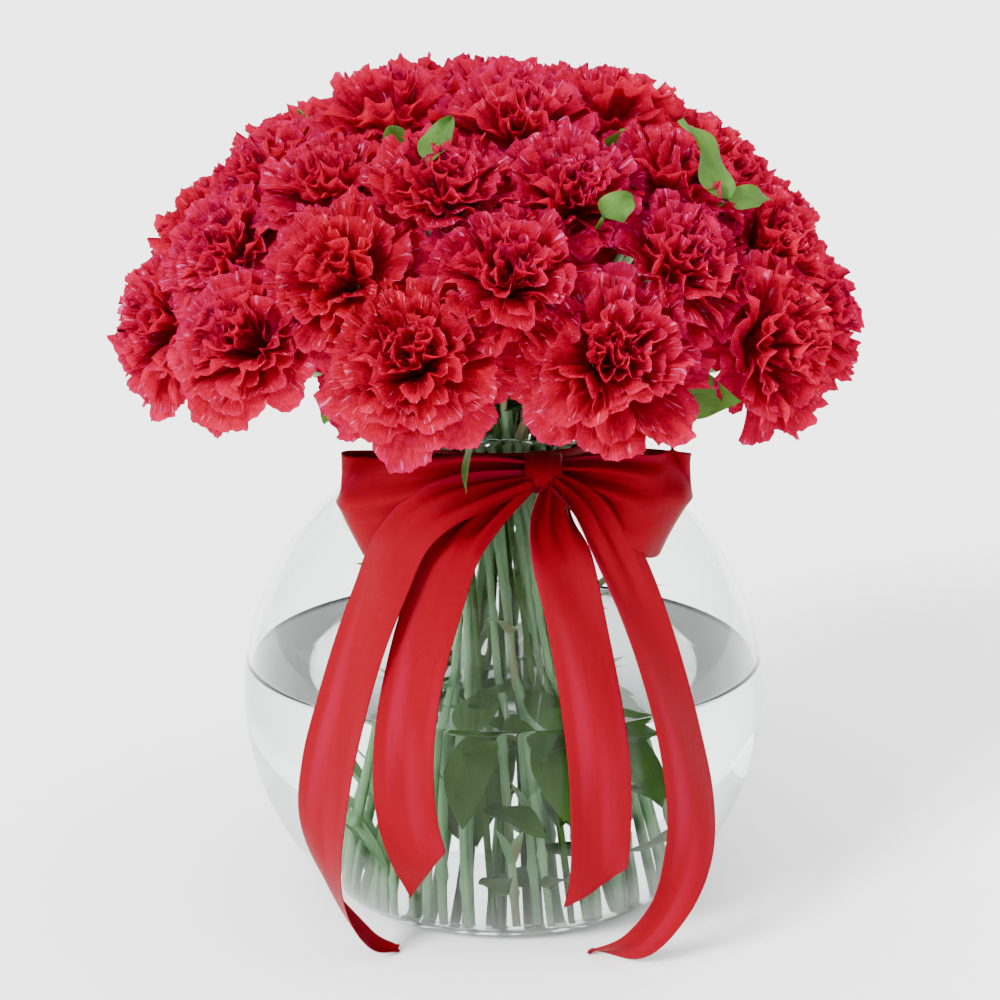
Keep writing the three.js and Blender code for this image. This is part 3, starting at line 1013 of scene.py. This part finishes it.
@dataclass(frozen=True)
class Route:
    """Way of one stem from its foot to its bloom."""

    foot: Points
    pinch: Points
    aside: Points
    bend: tuple[Points, ...]
    top: Points
    axis: Points

    def line(self) -> Points:
        """Points from the foot to the calyx."""
        straight = self.foot + np.linspace(0, 1, 24)[:-1, None] * (self.pinch - self.foot)
        return np.vstack([straight, bezier(self.bend, np.linspace(0, 1, 26))])


@dataclass(frozen=True)
class LeafShape:
    """Outline of a kind of leaf."""

    length: float
    width: float
    droop: float
    belly: float
    fold: float


@dataclass
class Leaf:
    """One blade, arched over along its rib and folded up at it."""

    root: Points
    way: Points
    shape: LeafShape
    twist: float = 0.0
    wave: float = 0.0
    seed: int = 0
    roll: float = 0.0
    facing: Triple = (0.0, 0.0, 1.0)
    stalk_width: float = 0.0006

    def points(self, u: Points, v: Points) -> Points:
        """Points of the blade for a blank's shares.

        Args:
            u: each point's share across.
            v: each point's share along.

        Returns:
            One point for each pair of shares.
        """
        shape = self.shape
        across = unit(np.cross(self.facing, self.way) + 1e-6)
        middle = self.root + self.way * (v * shape.length)[:, None]
        middle[:, 2] -= shape.droop * v ** 2
        along = unit(self.way * shape.length - np.outer(2 * shape.droop * v, [0, 0, 1]))
        across = square(np.broadcast_to(across, along.shape), along)
        normal = np.cross(along, across)
        angle = self.roll + self.twist * v
        side = across * np.cos(angle)[:, None] + normal * np.sin(angle)[:, None]
        up = np.cross(along, side)
        x = 2 * u - 1
        belly = np.sin(np.pi * np.clip(v, 0.0, 1) ** shape.belly) ** 0.8
        half = shape.width / 2 * belly + self.stalk_width * (1 - v)
        ripple = self.wave * np.sin(9 * v + self.seed) * x ** 2
        lift = shape.fold * np.abs(x) * half + ripple * shape.width
        return middle + side * (x * half)[:, None] + up * lift[:, None]


def blades(leaves: Sequence[Leaf], blank: Blank) -> Form:
    """All the leaves of one piece."""
    return Form(blank, lambda u, v: np.stack([leaf.points(u, v) for leaf in leaves]))


@dataclass
class Stems:
    """Bunches of stems, pressed together where they pass the neck."""

    dome: Dome
    radius: float = 0.0022
    stalk_blank: Blank = Blank(7, 109)
    leaf_blank: Blank = Blank(4, 14)
    pinch_radius: float = 0.025
    lower_pull: float = 0.048
    upper_pull: float = 0.034
    first_joint: float = 0.035
    joint_gap: float = 0.058
    joint_height: float = 0.0022
    joint_swell: float = 0.42
    calyx_length: float = 0.020
    calyx_radius: float = 0.006
    base: float = -0.0163
    leaf_height: float = 0.140
    low_leaf_height: float = 0.06
    leaf: LeafShape = LeafShape(0.052, 0.0055, 0.014, 0.7, 0.35)
    short_leaf: LeafShape = LeafShape(0.036, 0.0045, 0.010, 0.7, 0.35)
    slots: tuple[Slot, ...] = (
        Slot(0.062, 6, 0.0, 0.0),
        Slot(0.054, -7, 0.0, -0.0035),
        Slot(0.047, 4, 0.0, 0.0035),
        Slot(0.068, -9, -0.0035, 0.0),
    )

    def route(self, place: Place, bunch: int, slot: Slot) -> Route:
        """Stem's foot, its place at the pinch, and its curve up to the bloom.

        Args:
            place: the bloom's place.
            bunch: the bunch's number, from 0.
            slot: how the stem stands within its bunch.

        Returns:
            The stem's way.
        """
        azimuth = self.dome.bunch_azimuth(bunch)
        foot = around(slot.foot, azimuth + TWIST + slot.spread, FOOT_HEIGHT)
        aside = around(1, azimuth + 90, 0)
        pinch = around(self.pinch_radius + slot.out, azimuth, PINCH_HEIGHT) + aside * slot.aside
        rise = unit(pinch - foot)
        top = place.centre + place.axis * self.base * place.size
        neck = top - place.axis * self.calyx_length
        bend = (pinch, pinch + rise * self.lower_pull, neck - place.axis * self.upper_pull, neck)
        return Route(foot, pinch, aside, bend, top, place.axis)

    def stalk(self, route: Route, seed: int) -> Form:
        """Stem with its swollen joints.

        Args:
            route: the stem's way.
            seed: the number that its draws come from.

        Returns:
            The stem's form.
        """
        line = route.line()
        length = np.concatenate([[0], np.cumsum(np.linalg.norm(np.diff(line, axis=0), axis=1))])
        first = self.first_joint + 0.015 * draw(seed, 1)
        joints = np.arange(first, length[-1] - 0.03, self.joint_gap)
        fine = np.linspace(0, length[-1], self.stalk_blank.rows + 1)
        centres = np.stack([np.interp(fine, length, line[:, k]) for k in range(3)], axis=1)
        swell = sum(np.exp(-((fine - joint) / self.joint_height) ** 2) for joint in joints)
        thin = 0.86 + 0.1 * draw(seed, 2)
        radii = self.radius * thin * (1 + self.joint_swell * swell)
        return Form(self.stalk_blank, tube_shape(centres, radii, route.aside), True)

    def calyx(self, route: Route) -> Form:
        """Green cup that holds the petals, with five short teeth.

        Args:
            route: the way of the stem under it.

        Returns:
            The calyx's form.
        """
        share = np.array([0, 0.06, 0.16, 0.3, 0.5, 0.7, 0.86, 0.95, 1.0, 1.02, 0.9])
        width = np.array([0.38, 0.62, 0.84, 0.95, 1.0, 1.0, 0.97, 0.96, 0.98, 0.9, 0.4])
        start = route.top - route.axis * (self.calyx_length + 0.002)
        centres = start + np.outer(share * (self.calyx_length + 0.005), route.axis)
        return Form(Blank(15, 10), tube_shape(centres, width * self.calyx_radius, route.aside, 0.05), True)

    def build(self, places: Sequence[Place], wardrobe: Wardrobe) -> None:
        """Make each bunch with its calyxes and narrow leaves.

        Args:
            places: the places of all the blooms.
            wardrobe: the finishes.
        """
        for bunch in range(self.dome.bunches):
            own = [place for place in places if self.dome.bunch_of(place) == bunch][::-1]
            routes = [self.route(place, bunch, slot) for place, slot in zip(own, self.slots)]
            stalks = [self.stalk(route, 10 * bunch + index) for index, route in enumerate(routes)]
            leaves = [leaf for index, route in enumerate(routes)
                      for leaf in self.leaves(route, bunch, index)]
            forms = [*stalks, *([blades(leaves, self.leaf_blank)] if leaves else [])]
            number = f"{bunch + 1:02d}"
            wardrobe.dress(assemble(f"stem_bunch_{number}", forms), Finish.STEM, f"stems_{number}")
            cups = assemble(f"calyxes_{number}", [self.calyx(route) for route in routes])
            wardrobe.dress(cups, Finish.CALYX)

    def leaves(self, route: Route, bunch: int, index: int) -> list[Leaf]:
        """Pairs of narrow leaves at the joints of one stem.

        Args:
            route: the stem's way.
            bunch: the bunch's number, from 0.
            index: the stem's number within its bunch, from 0.

        Returns:
            The leaves, which some stems don't have.
        """
        if index == 0 and bunch % 2 or index == 3:
            return []
        azimuth = self.dome.bunch_azimuth(bunch) + TWIST * 0.3
        if index == 0:
            height, shape = self.leaf_height + 0.012 * draw(bunch, 3), self.leaf
        else:
            height, shape = self.low_leaf_height + 0.035 * draw(bunch, index + 30), self.short_leaf
        leaves = []
        for side in (-1, 1):
            aside = side * (10 + 8 * index + 3 * draw(bunch, side + 5))
            lift = 0.75 + 0.25 * draw(bunch, side + 9) + 0.8 * min(index, 1)
            way = unit(around(1, azimuth + aside, lift))
            root = at_height(route.foot, route.pinch, height)
            leaves.append(Leaf(root, way, shape, 0.6 * side, 0.0, bunch))
        return leaves


@dataclass(frozen=True)
class MiddleSprig:
    """Sprig that rises through the dome between the blooms."""

    azimuth: float
    polar: float
    leaf_azimuth: float
    leaf_height: float


@dataclass(frozen=True)
class PerchedLeaf:
    """Leaf that lies on the dome, its heading turned from straight downhill."""

    sprig: int
    azimuth: float
    polar: float
    heading: float
    length: float
    width: float


@dataclass(frozen=True)
class OuterSprig:
    """Sprig that leans out over the rim below the blooms."""

    azimuth: float
    aim: float
    reach: float
    height: float
    lift: float
    roll: float = 0.0
    length: float = 0.042
    width: float = 0.020


@dataclass
class Greens:
    """Sprigs of broad dark leaves among the stems."""

    dome: Dome
    radius: float = 0.0015
    leaf_blank: Blank = Blank(8, 16)
    lower_pull: float = 0.052
    upper_pull: float = 0.030
    middle_foot: float = 0.014
    middle_pinch: float = 0.0012
    outer_foot: float = 0.058
    outer_pinch: float = 0.034
    crown_depth: float = 0.012
    fork_depth: float = 0.02
    low_leaf_share: float = 0.45
    leaf: LeafShape = LeafShape(0.042, 0.020, 0.006, 0.8, 0.22)
    side_leaf: LeafShape = LeafShape(0.032, 0.014, 0.006, 0.8, 0.22)
    side_shares: tuple[float, ...] = (0.16, 0.28, 0.4, 0.5)
    perch: float = 0.0175
    crown_leaf: LeafShape = LeafShape(0.035, 0.016, 0.006, 0.8, 0.22)
    perch_lift: float = 0.28
    perch_belly: float = 0.66
    perch_face: Triple = (0.0, -0.8, 0.2)
    collar_height: float = 0.234
    collar_leaf: LeafShape = LeafShape(0.040, 0.018, 0.004, 0.8, 0.22)
    middle: tuple[MiddleSprig, ...] = (
        MiddleSprig(-29, 31, -20, 0.084),
        MiddleSprig(38, 32, 60, 0.100),
        MiddleSprig(118, 28, 150, 0.078),
        MiddleSprig(-96, 31, -110, 0.096),
    )
    perched: tuple[PerchedLeaf, ...] = (
        PerchedLeaf(0, -14, 40.5, 165, 0.026, 0.012),
        PerchedLeaf(1, 20, 52.5, 125, 0.019, 0.013),
        PerchedLeaf(1, 50, 51, 196, 0.042, 0.015),
        PerchedLeaf(1, 50, 51, 80, 0.024, 0.010),
        PerchedLeaf(2, 122, 58, 150, 0.034, 0.013),
        PerchedLeaf(2, 150, 46, -150, 0.030, 0.013),
        PerchedLeaf(3, -145, 44, 160, 0.034, 0.013),
    )
    outer: tuple[OuterSprig, ...] = (
        OuterSprig(36.4, 36.4, 0.116, 0.258, 0.42, 1.2, 0.056),
        OuterSprig(3.6, -7, 0.086, 0.252, -0.3, 0.8, 0.046, 0.011),
        OuterSprig(-29.1, -29.1, 0.116, 0.256, 0.4),
        OuterSprig(167.3, 167.3, 0.112, 0.252, 0.3),
    )

    def stalk(self, foot: Points, pinch: Points, end: Points, way: Points) -> Form:
        """Thin stem from the water up to its end leaf.

        Args:
            foot: where it stands in the vase.
            pinch: where it passes the neck.
            end: its upper end.
            way: the direction of its upper end.

        Returns:
            The stalk's form.
        """
        rise = unit(pinch - foot)
        bend = (pinch, pinch + rise * self.lower_pull, end - way * self.upper_pull, end)
        curve = bezier(bend, np.linspace(0, 1, 30))
        line = np.vstack([foot + np.linspace(0, 1, 20)[:-1, None] * (pinch - foot), curve])
        aside = unit(np.array([-way[1], way[0], 1e-3]))
        return Form(Blank(8, len(line) - 1), tube_shape(line, np.full(len(line), self.radius), aside), True)

    def side_leaves(self, foot: Points, pinch: Points, seed: int) -> list[Leaf]:
        """Smaller leaves that stand off the straight part of a stalk.

        Args:
            foot: where the stalk stands in the vase.
            pinch: where it passes the neck.
            seed: the number that the draws come from.

        Returns:
            The leaves.
        """
        leaves = []
        for index, share in enumerate(self.side_shares):
            root = foot + (pinch - foot) * (share + 0.04 * draw(seed, index))
            azimuth = math.degrees(math.atan2(root[0], -root[1])) + 70 * draw(seed, index + 10)
            way = unit(around(0.8, azimuth, 0.35 + 0.55 * draw(seed, index + 20)))
            leaves.append(Leaf(root, way, self.side_leaf, 0.5, 0.08, seed + index))
        return leaves

    def collar_leaves(self, sprig: int) -> list[Leaf]:
        """Leaves above the rim, in the shade under the dome.

        Args:
            sprig: the sprig's number, from 0.

        Returns:
            The leaves.
        """
        leaves = []
        for index in range(5):
            azimuth = 90 * sprig + 24 * index + 10 * draw(sprig, index + 50)
            root = around(0.014, azimuth, self.collar_height + 0.012 * draw(sprig, index + 55))
            way = unit(around(1, azimuth, 0.5 + 0.3 * draw(sprig, index + 60)))
            leaves.append(Leaf(root, way, self.collar_leaf, 0.4, 0.08, index))
        return leaves

    def perched_leaf(self, leaf: PerchedLeaf, seed: int) -> Leaf:
        """Leaf whose foot stands in a gap of the dome and whose blade lies on the blooms.

        Args:
            leaf: the leaf's place, heading and size.
            seed: the number that its waves come from.

        Returns:
            The leaf.
        """
        polar = math.radians(leaf.polar)
        heading = math.radians(leaf.heading)
        outward = around(math.sin(polar), leaf.azimuth, math.cos(polar))
        downhill = around(math.cos(polar), leaf.azimuth, -math.sin(polar))
        sideways = around(1, leaf.azimuth + 90, 0)
        way = unit(downhill * math.cos(heading) + sideways * math.sin(heading) + outward * self.perch_lift)
        root = self.dome.shell(leaf.azimuth, leaf.polar) + outward * self.perch
        shape = LeafShape(leaf.length, leaf.width, 0.003, self.perch_belly, self.leaf.fold)
        return Leaf(root, way, shape, 0.8, 0.22, seed, -0.2, tuple(outward + self.perch_face))

    def perch_stalk(self, start: Points, leaf: Leaf) -> Form:
        """Short stalk from a sprig's top to the foot of a leaf on the dome.

        Args:
            start: where it leaves the sprig.
            leaf: the leaf that it holds.

        Returns:
            The stalk's form.
        """
        down = unit(np.array(leaf.facing)) * -0.02
        line = bezier((start, leaf.root + 2 * down, leaf.root + down, leaf.root), np.linspace(0, 1, 12))
        aside = unit(np.cross(leaf.root - start, leaf.way) + 1e-6)
        return Form(Blank(6, 11), tube_shape(line, np.full(12, self.radius * 0.6), aside), True)

    def middle_spray(self, wardrobe: Wardrobe) -> None:
        """Make the sprigs that rise through the dome, as one piece.

        Args:
            wardrobe: the finishes.
        """
        stalks = []
        leaves = []
        for index, sprig in enumerate(self.middle):
            polar = math.radians(sprig.polar)
            way = around(math.sin(polar), sprig.azimuth, math.cos(polar))
            end = self.dome.shell(sprig.azimuth, sprig.polar) - way * self.crown_depth
            foot = around(self.middle_foot, sprig.azimuth + TWIST, FOOT_HEIGHT)
            pinch = around(self.middle_pinch, sprig.azimuth, PINCH_HEIGHT)
            stalks.append(self.stalk(foot, pinch, end, way))
            root = at_height(foot, pinch, sprig.leaf_height)
            down = unit(around(0.62, sprig.leaf_azimuth, -0.78))
            leaves.append(Leaf(end, way, self.crown_leaf, 0.5, 0.1, index))
            leaves.append(Leaf(root, down, self.leaf, 0.3, 0.06, index))
            leaves.extend(self.side_leaves(foot, pinch, 3 * index))
            leaves.extend(self.collar_leaves(index))
            for number, perched in enumerate(self.perched):
                if perched.sprig == index:
                    leaves.append(self.perched_leaf(perched, number))
                    stalks.append(self.perch_stalk(end - way * self.fork_depth, leaves[-1]))
        piece = assemble("leaf_spray_01", [*stalks, blades(leaves, self.leaf_blank)])
        wardrobe.dress(piece, Finish.LEAF, "greens_01")

    def outer_spray(self, index: int, sprig: OuterSprig, wardrobe: Wardrobe) -> None:
        """Make one sprig that leans out below the blooms.

        Args:
            index: the sprig's number, from 0.
            sprig: its directions and sizes.
            wardrobe: the finishes.
        """
        foot = around(self.outer_foot, sprig.azimuth + TWIST, FOOT_HEIGHT)
        pinch = around(self.outer_pinch, sprig.azimuth, PINCH_HEIGHT)
        end = around(sprig.reach, sprig.aim, sprig.height)
        way = unit(around(1, sprig.aim, sprig.lift))
        root = foot + (pinch - foot) * self.low_leaf_share
        down = unit(around(0.8, sprig.azimuth + TWIST * 0.6, -0.6))
        shape = LeafShape(sprig.length, sprig.width, 0.012, self.leaf.belly, self.leaf.fold)
        leaves = [Leaf(end, way, shape, 0.4, 0.1, index, sprig.roll),
                  Leaf(root, down, self.leaf, 0.3, 0.06, index + 7),
                  *self.side_leaves(foot, pinch, 40 + 3 * index)]
        forms = [self.stalk(foot, pinch, end, way), blades(leaves, self.leaf_blank)]
        number = f"{index + 2:02d}"
        wardrobe.dress(assemble(f"leaf_spray_{number}", forms), Finish.LEAF, f"greens_{number}")

    def build(self, wardrobe: Wardrobe) -> None:
        """Make the middle spray and each outer sprig.

        Args:
            wardrobe: the finishes.
        """
        self.middle_spray(wardrobe)
        for index, sprig in enumerate(self.outer):
            self.outer_spray(index, sprig, wardrobe)


@dataclass
class Strip:
    """Length of ribbon along listed points of place, width and turn.

    Where the strip is gathered, it lies in pleats that are deep enough to take
    up the rest of its width. Where it is narrower but not gathered, it is cut.
    """

    name: str
    route: Knots
    cloth: float
    upright: bool
    held: str
    rests_on: tuple[str, ...]
    gathers: tuple[float, float]
    corners: tuple[float, float] = (0.0, 0.0)
    slant: float = 0.0
    ridge: float = 0.0
    columns: int = 36
    rows: int = 96
    thickness: float = 0.0005
    pleats: float = 2.5
    ripple: float = 0.0012
    release: float = 1.6
    fullness: float = 3.5

    def track(self, share: Points) -> tuple[Points, Points, Points, Points]:
        """Lay out the strip's middle line.

        Args:
            share: shares along the strip, from 0 to 1.

        Returns:
            The middle line, the directions across the strip and out of it, and its width.
        """
        knots = np.array([(*point, *([0] * (5 - len(point)))) for point in self.route], dtype=float)
        knots[:, :4] /= 1000
        values = smooth_way(knots, share)
        centre, width, turn = values[:, :3], values[:, 3], np.radians(values[:, 4])
        along = unit(np.gradient(centre, axis=0))
        if self.upright:
            side = square(np.broadcast_to([0.0, 0.0, 1.0], along.shape), along)
        else:
            side = square(np.cross(along, centre - np.array([0, 0, Vase.globe_centre])), along)
        normal = np.cross(along, side)
        side = side * np.cos(turn)[:, None] + normal * np.sin(turn)[:, None]
        return centre, side, np.cross(along, side), width

    def gathered(self, share: Points) -> Points:
        """How far the strip is drawn together along its way.

        Args:
            share: shares along the strip, from 0 to 1.

        Returns:
            1 where it is gathered fully, down to 0 where it lies flat.
        """
        return np.maximum(*(np.clip(self.release * (1 - way / max(reach, MERGE)), 0, 1)
                            for way, reach in zip((share, 1 - share), self.gathers)))

    def build(self, wardrobe: Wardrobe, nodes: Sequence[str] = ()) -> None:
        """Args:
            wardrobe: the finishes.
            nodes: the nodes of the frame that the strip stands for.
        """
        share = np.linspace(0, 1, 4 * self.rows + 1)
        centre, side, normal, width = self.track(share)
        gathered = self.gathered(share)
        drawn = np.maximum(self.cloth / np.maximum(width, 1e-4), 1.0)
        depth = gathered * width / self.pleats / 4 * np.sqrt(np.minimum(drawn, self.fullness) ** 2 - 1)
        outward = np.sign(centre[len(centre) // 2, 0])
        away = np.abs(centre[:, 0] - centre[0, 0])
        away = (away / away.max()) ** 2
        table = np.column_stack([centre, side, normal, width, depth, away])
        low, high = self.corners

        def shape(u: Points, v: Points) -> Points:
            """Points of the strip for a blank's shares.

            Args:
                u: each point's share across.
                v: each point's share along.

            Returns:
                One point for each pair of shares.
            """
            x = 2 * u - 1
            way = v * (1 - self.slant * (1 - x) / 2)
            row = np.stack([np.interp(way, share, column) for column in table.T])
            middle, across, face = row[:3].T, row[3:6].T, row[6:9].T
            wide, deep, far = row[9:]
            lift = deep * np.cos(self.pleats * np.pi * x + 0.9 + 1.3 * np.sin(2.1 * way))
            lift += self.ripple * np.sin(11 * way + 2.2 * x + 0.5 * len(self.name))
            points = middle + across * (x * wide / 2)[:, None] + face * lift[:, None]
            points[:, 0] -= outward * (low * np.maximum(-x, 0) + high * np.maximum(x - 0.4, 0)) * far
            points[:, 1] -= self.ridge * np.exp(-((x - 0.15) / 0.22) ** 2) * far
            points[:, 2] = np.maximum(points[:, 2], self.thickness)
            return points

        piece = assemble(self.name, [Form(Blank(self.columns, self.rows), shape)])
        thicken(piece, self.thickness)
        wardrobe.dress(piece, Finish.SATIN, *nodes)


@dataclass
class Ribbon:
    """Satin ribbon tied round the neck, with a bow and four tails."""

    knot: Triple = (0.018, -0.0583, 0.219)
    band_radius: float = 0.0502
    band: tuple[float, float] = (0.213, 0.226)
    thickness: float = 0.0005
    band_gap: float = 0.0004
    band_pleat: float = 0.0005
    knot_size: Triple = (0.0085, 0.0150, 0.0095)
    left_loop: Knots = (
        (14, -62, 219, 12), (-12, -70, 217.5, 25, 6), (-43, -78, 209.5, 41, 14), (-67, -76, 206, 49, 18),
        (-74.5, -66, 209, 48, 20), (-65, -61, 212, 42, 20), (-35, -60, 218.5, 22, 10), (12, -58, 219, 10),
    )
    right_loop: Knots = (
        (22, -62, 219, 12), (44, -72, 216.5, 27, -8), (67, -77, 210.5, 43, -16), (80.5, -71, 208, 50, -18),
        (84.5, -61, 209, 49, -20), (77, -57, 212, 40, -20), (53, -57, 218.5, 22, -10), (24, -58, 219, 10),
    )
    left_outer: Knots = (
        (12, -70.2, 218, 9), (-12, -80, 215, 20), (-31, -87, 209, 26), (-45, -92, 196, 28),
        (-54, -100, 176, 28), (-63, -106, 152, 28), (-71, -109, 124, 28), (-78, -107, 94, 28),
        (-81, -105, 64, 28, 10), (-75, -106, 34, 24, 35), (-61, -99, 10, 14, 50), (-48, -91, 1.5, 3, 30),
    )
    left_inner: Knots = (
        (12, -70.2, 218, 9), (-9, -79, 203, 18), (-22, -92, 190, 24), (-32, -106, 166, 28),
        (-39, -116, 140, 28), (-43, -121, 112, 28), (-43, -121, 82, 28), (-38, -119, 58, 28),
        (-30, -115, 38, 27),
    )
    centre_tail: Knots = (
        (23, -70.2, 218, 9), (22, -80, 202, 20), (26, -94, 188, 28), (32, -107, 164, 28),
        (38, -118, 134, 28), (42, -123, 104, 28), (43, -123, 74, 28), (42, -124, 52, 28),
        (39, -123, 36, 27),
    )
    right_tail: Knots = (
        (23, -70.2, 218, 9), (38, -80, 209, 20), (50, -88, 190, 25), (61, -97, 166, 25), (71, -105, 138, 25),
        (79, -107, 108, 25), (84, -106, 78, 25, 5), (83, -108, 54, 24, 15), (75, -110, 30, 18, 35),
        (60, -106, 10, 14, 55), (40, -93, 1.5, 4, 20),
    )

    def band_piece(self, wardrobe: Wardrobe) -> None:
        """Band of ribbon wound round the glass neck.

        Args:
            wardrobe: the finishes.
        """
        low, high = self.band

        def shape(u: Points, v: Points) -> Points:
            """Points of the band, pleated along its length.

            Args:
                u: each point's share round the neck.
                v: each point's share up.

            Returns:
                One point for each pair of shares.
            """
            angle = 2 * np.pi * u
            pleat = self.band_pleat * (np.sin(7 * np.pi * v + 0.8 * np.sin(3 * angle)) + v)
            radius = self.band_radius + self.band_gap + pleat
            height = low + (high - low) * v
            return np.stack([radius * np.sin(angle), -radius * np.cos(angle), height], axis=1)

        piece = assemble("ribbon_band", [Form(Blank(160, 22), shape)])
        merge_seam(piece)
        thicken(piece, self.thickness)
        wardrobe.dress(piece, Finish.SATIN, "ribbon_bow")

    def knot_piece(self, wardrobe: Wardrobe) -> None:
        """Knot: a wrapped, creased turn of ribbon.

        Args:
            wardrobe: the finishes.
        """
        def shape(u: Points, v: Points) -> Points:
            """Barrel of ribbon with lengthwise creases.

            Args:
                u: each point's share round the barrel.
                v: each point's share along it.

            Returns:
                One point for each pair of shares.
            """
            angle = 2 * np.pi * u
            x = 2 * v - 1
            belly = 1 - 0.16 * x ** 2 + 0.025 * np.cos(4.5 * np.pi * x + np.sin(2 * angle))
            barrel = np.stack([x, -np.cos(angle) * belly, np.sin(angle) * belly], axis=1)
            return np.array(self.knot) + barrel * self.knot_size

        piece = assemble("ribbon_knot", [Form(Blank(40, 16), shape)])
        merge_seam(piece, closed=True)
        wardrobe.dress(piece, Finish.SATIN)

    def build(self, wardrobe: Wardrobe) -> None:
        """Make the band, the knot, the loops and the tails.

        Args:
            wardrobe: the finishes.
        """
        self.band_piece(wardrobe)
        self.knot_piece(wardrobe)
        bow = {"cloth": 0.046, "upright": True, "held": "gathered", "rests_on": ("ribbon_knot",),
               "gathers": (0.5, 0.5), "corners": (0.021, 0.002), "pleats": 3.0, "ridge": 0.004}
        Strip("bow_loop_left", self.left_loop, **bow).build(wardrobe)
        Strip("bow_loop_right", self.right_loop, **bow).build(wardrobe)
        tail = {"cloth": 0.028, "upright": False, "held": "hung", "rests_on": ("ribbon_knot", "vase_glass"),
                "gathers": (0.3, 0.0)}
        Strip("tail_left_outer", self.left_outer, **tail).build(wardrobe, ["ribbon_tails_left"])
        Strip("tail_left_inner", self.left_inner, **tail, slant=0.13).build(wardrobe)
        Strip("tail_centre", self.centre_tail, **tail, slant=0.14).build(wardrobe, ["ribbon_tails_right"])
        Strip("tail_right", self.right_tail, **tail).build(wardrobe)


@dataclass(frozen=True)
class Lamp:
    """Distant lamp: its place, the angle it is spread over and its strength."""

    name: str
    place: Triple
    spread: float
    strength: float


@dataclass
class Studio:
    """Floor, light and camera."""

    eye: Triple = (0.0, -1.138, 0.4788)
    pitch: float = -14.18
    lens: float = 88.68
    shift: float = -0.003
    near_light: float = 1.1
    far_light: float = 2.6
    aim: Triple = (0, 0, 0.2)
    lamps: tuple[Lamp, ...] = (
        Lamp("key", (-1.3, -1.5, 1.35), 18, 8.5),
        Lamp("above", (0.2, -0.7, 2.0), 90, 3.0),
        Lamp("front", (-0.3, -2.0, 0.5), 60, 2.2),
    )

    def build(self) -> None:
        """Set up the studio."""
        self.floor()
        self.light()
        self.camera()

    def floor(self) -> None:
        """Plain pale floor."""
        bm = bmesh.new()
        bmesh.ops.create_grid(bm, x_segments=1, y_segments=1, size=15)
        floor = placed("floor", bm)
        paint = Paint("pale_floor")
        paint.set(Base_Color=(0.93, 0.93, 0.935, 1), Roughness=0.75)
        floor.data.materials.append(paint.material)

    def light(self) -> None:
        """Pale surroundings, a soft key from the upper left, and wide lamps above and in front."""
        world = bpy.data.worlds.new("studio")
        bpy.context.scene.world = world
        world.use_nodes = True
        tree = world.node_tree
        background = tree.nodes["Background"]
        background.inputs["Color"].default_value = (1, 1, 1, 1)
        split = tree.nodes.new("ShaderNodeSeparateXYZ")
        tree.links.new(tree.nodes.new("ShaderNodeTexCoord").outputs["Generated"], split.inputs["Vector"])
        fade = tree.nodes.new("ShaderNodeMapRange")
        tree.links.new(split.outputs["Y"], fade.inputs["Value"])
        limits = {"From Min": -1.0, "From Max": 1.0, "To Min": self.near_light, "To Max": self.far_light}
        for key, value in limits.items():
            fade.inputs[key].default_value = value
        tree.links.new(fade.outputs["Result"], background.inputs["Strength"])
        for lamp in self.lamps:
            self.hang(lamp)

    def hang(self, lamp: Lamp) -> None:
        """Set up one lamp so that it shines from its place towards the vase.

        Args:
            lamp: the lamp.
        """
        data = bpy.data.lights.new(lamp.name, "SUN")
        data.angle = math.radians(lamp.spread)
        data.energy = lamp.strength
        light = bpy.data.objects.new(lamp.name, data)
        light.location = lamp.place
        aim = Vector(self.aim) - Vector(lamp.place)
        light.rotation_euler = aim.to_track_quat("-Z", "Y").to_euler()
        bpy.context.collection.objects.link(light)

    def camera(self) -> None:
        """Camera in front of the vase, looking slightly down."""
        data = bpy.data.cameras.new("camera")
        data.lens = self.lens
        data.sensor_width = 36
        data.shift_x = self.shift
        camera = bpy.data.objects.new("camera", data)
        camera.location = self.eye
        camera.rotation_euler = (math.radians(90 + self.pitch), 0, 0)
        bpy.context.collection.objects.link(camera)
        bpy.context.scene.camera = camera


def corners(box: tuple[Vector, Vector]) -> list[list[float]]:
    """Plain lists of a box's two corners."""
    return [list(corner) for corner in box]


def main() -> None:
    """Build the whole arrangement over the frame."""
    logging.basicConfig(level=logging.INFO, format="%(message)s")
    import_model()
    wardrobe = Wardrobe()
    dome = Dome()
    places = dome.places()
    Vase().build(wardrobe)
    bloom = Bloom()
    for place in places:
        bloom.build(place, wardrobe)
    Stems(dome).build(places, wardrobe)
    Greens(dome).build(wardrobe)
    Ribbon().build(wardrobe)
    Studio().build()


if __name__ == "__main__":
    main()
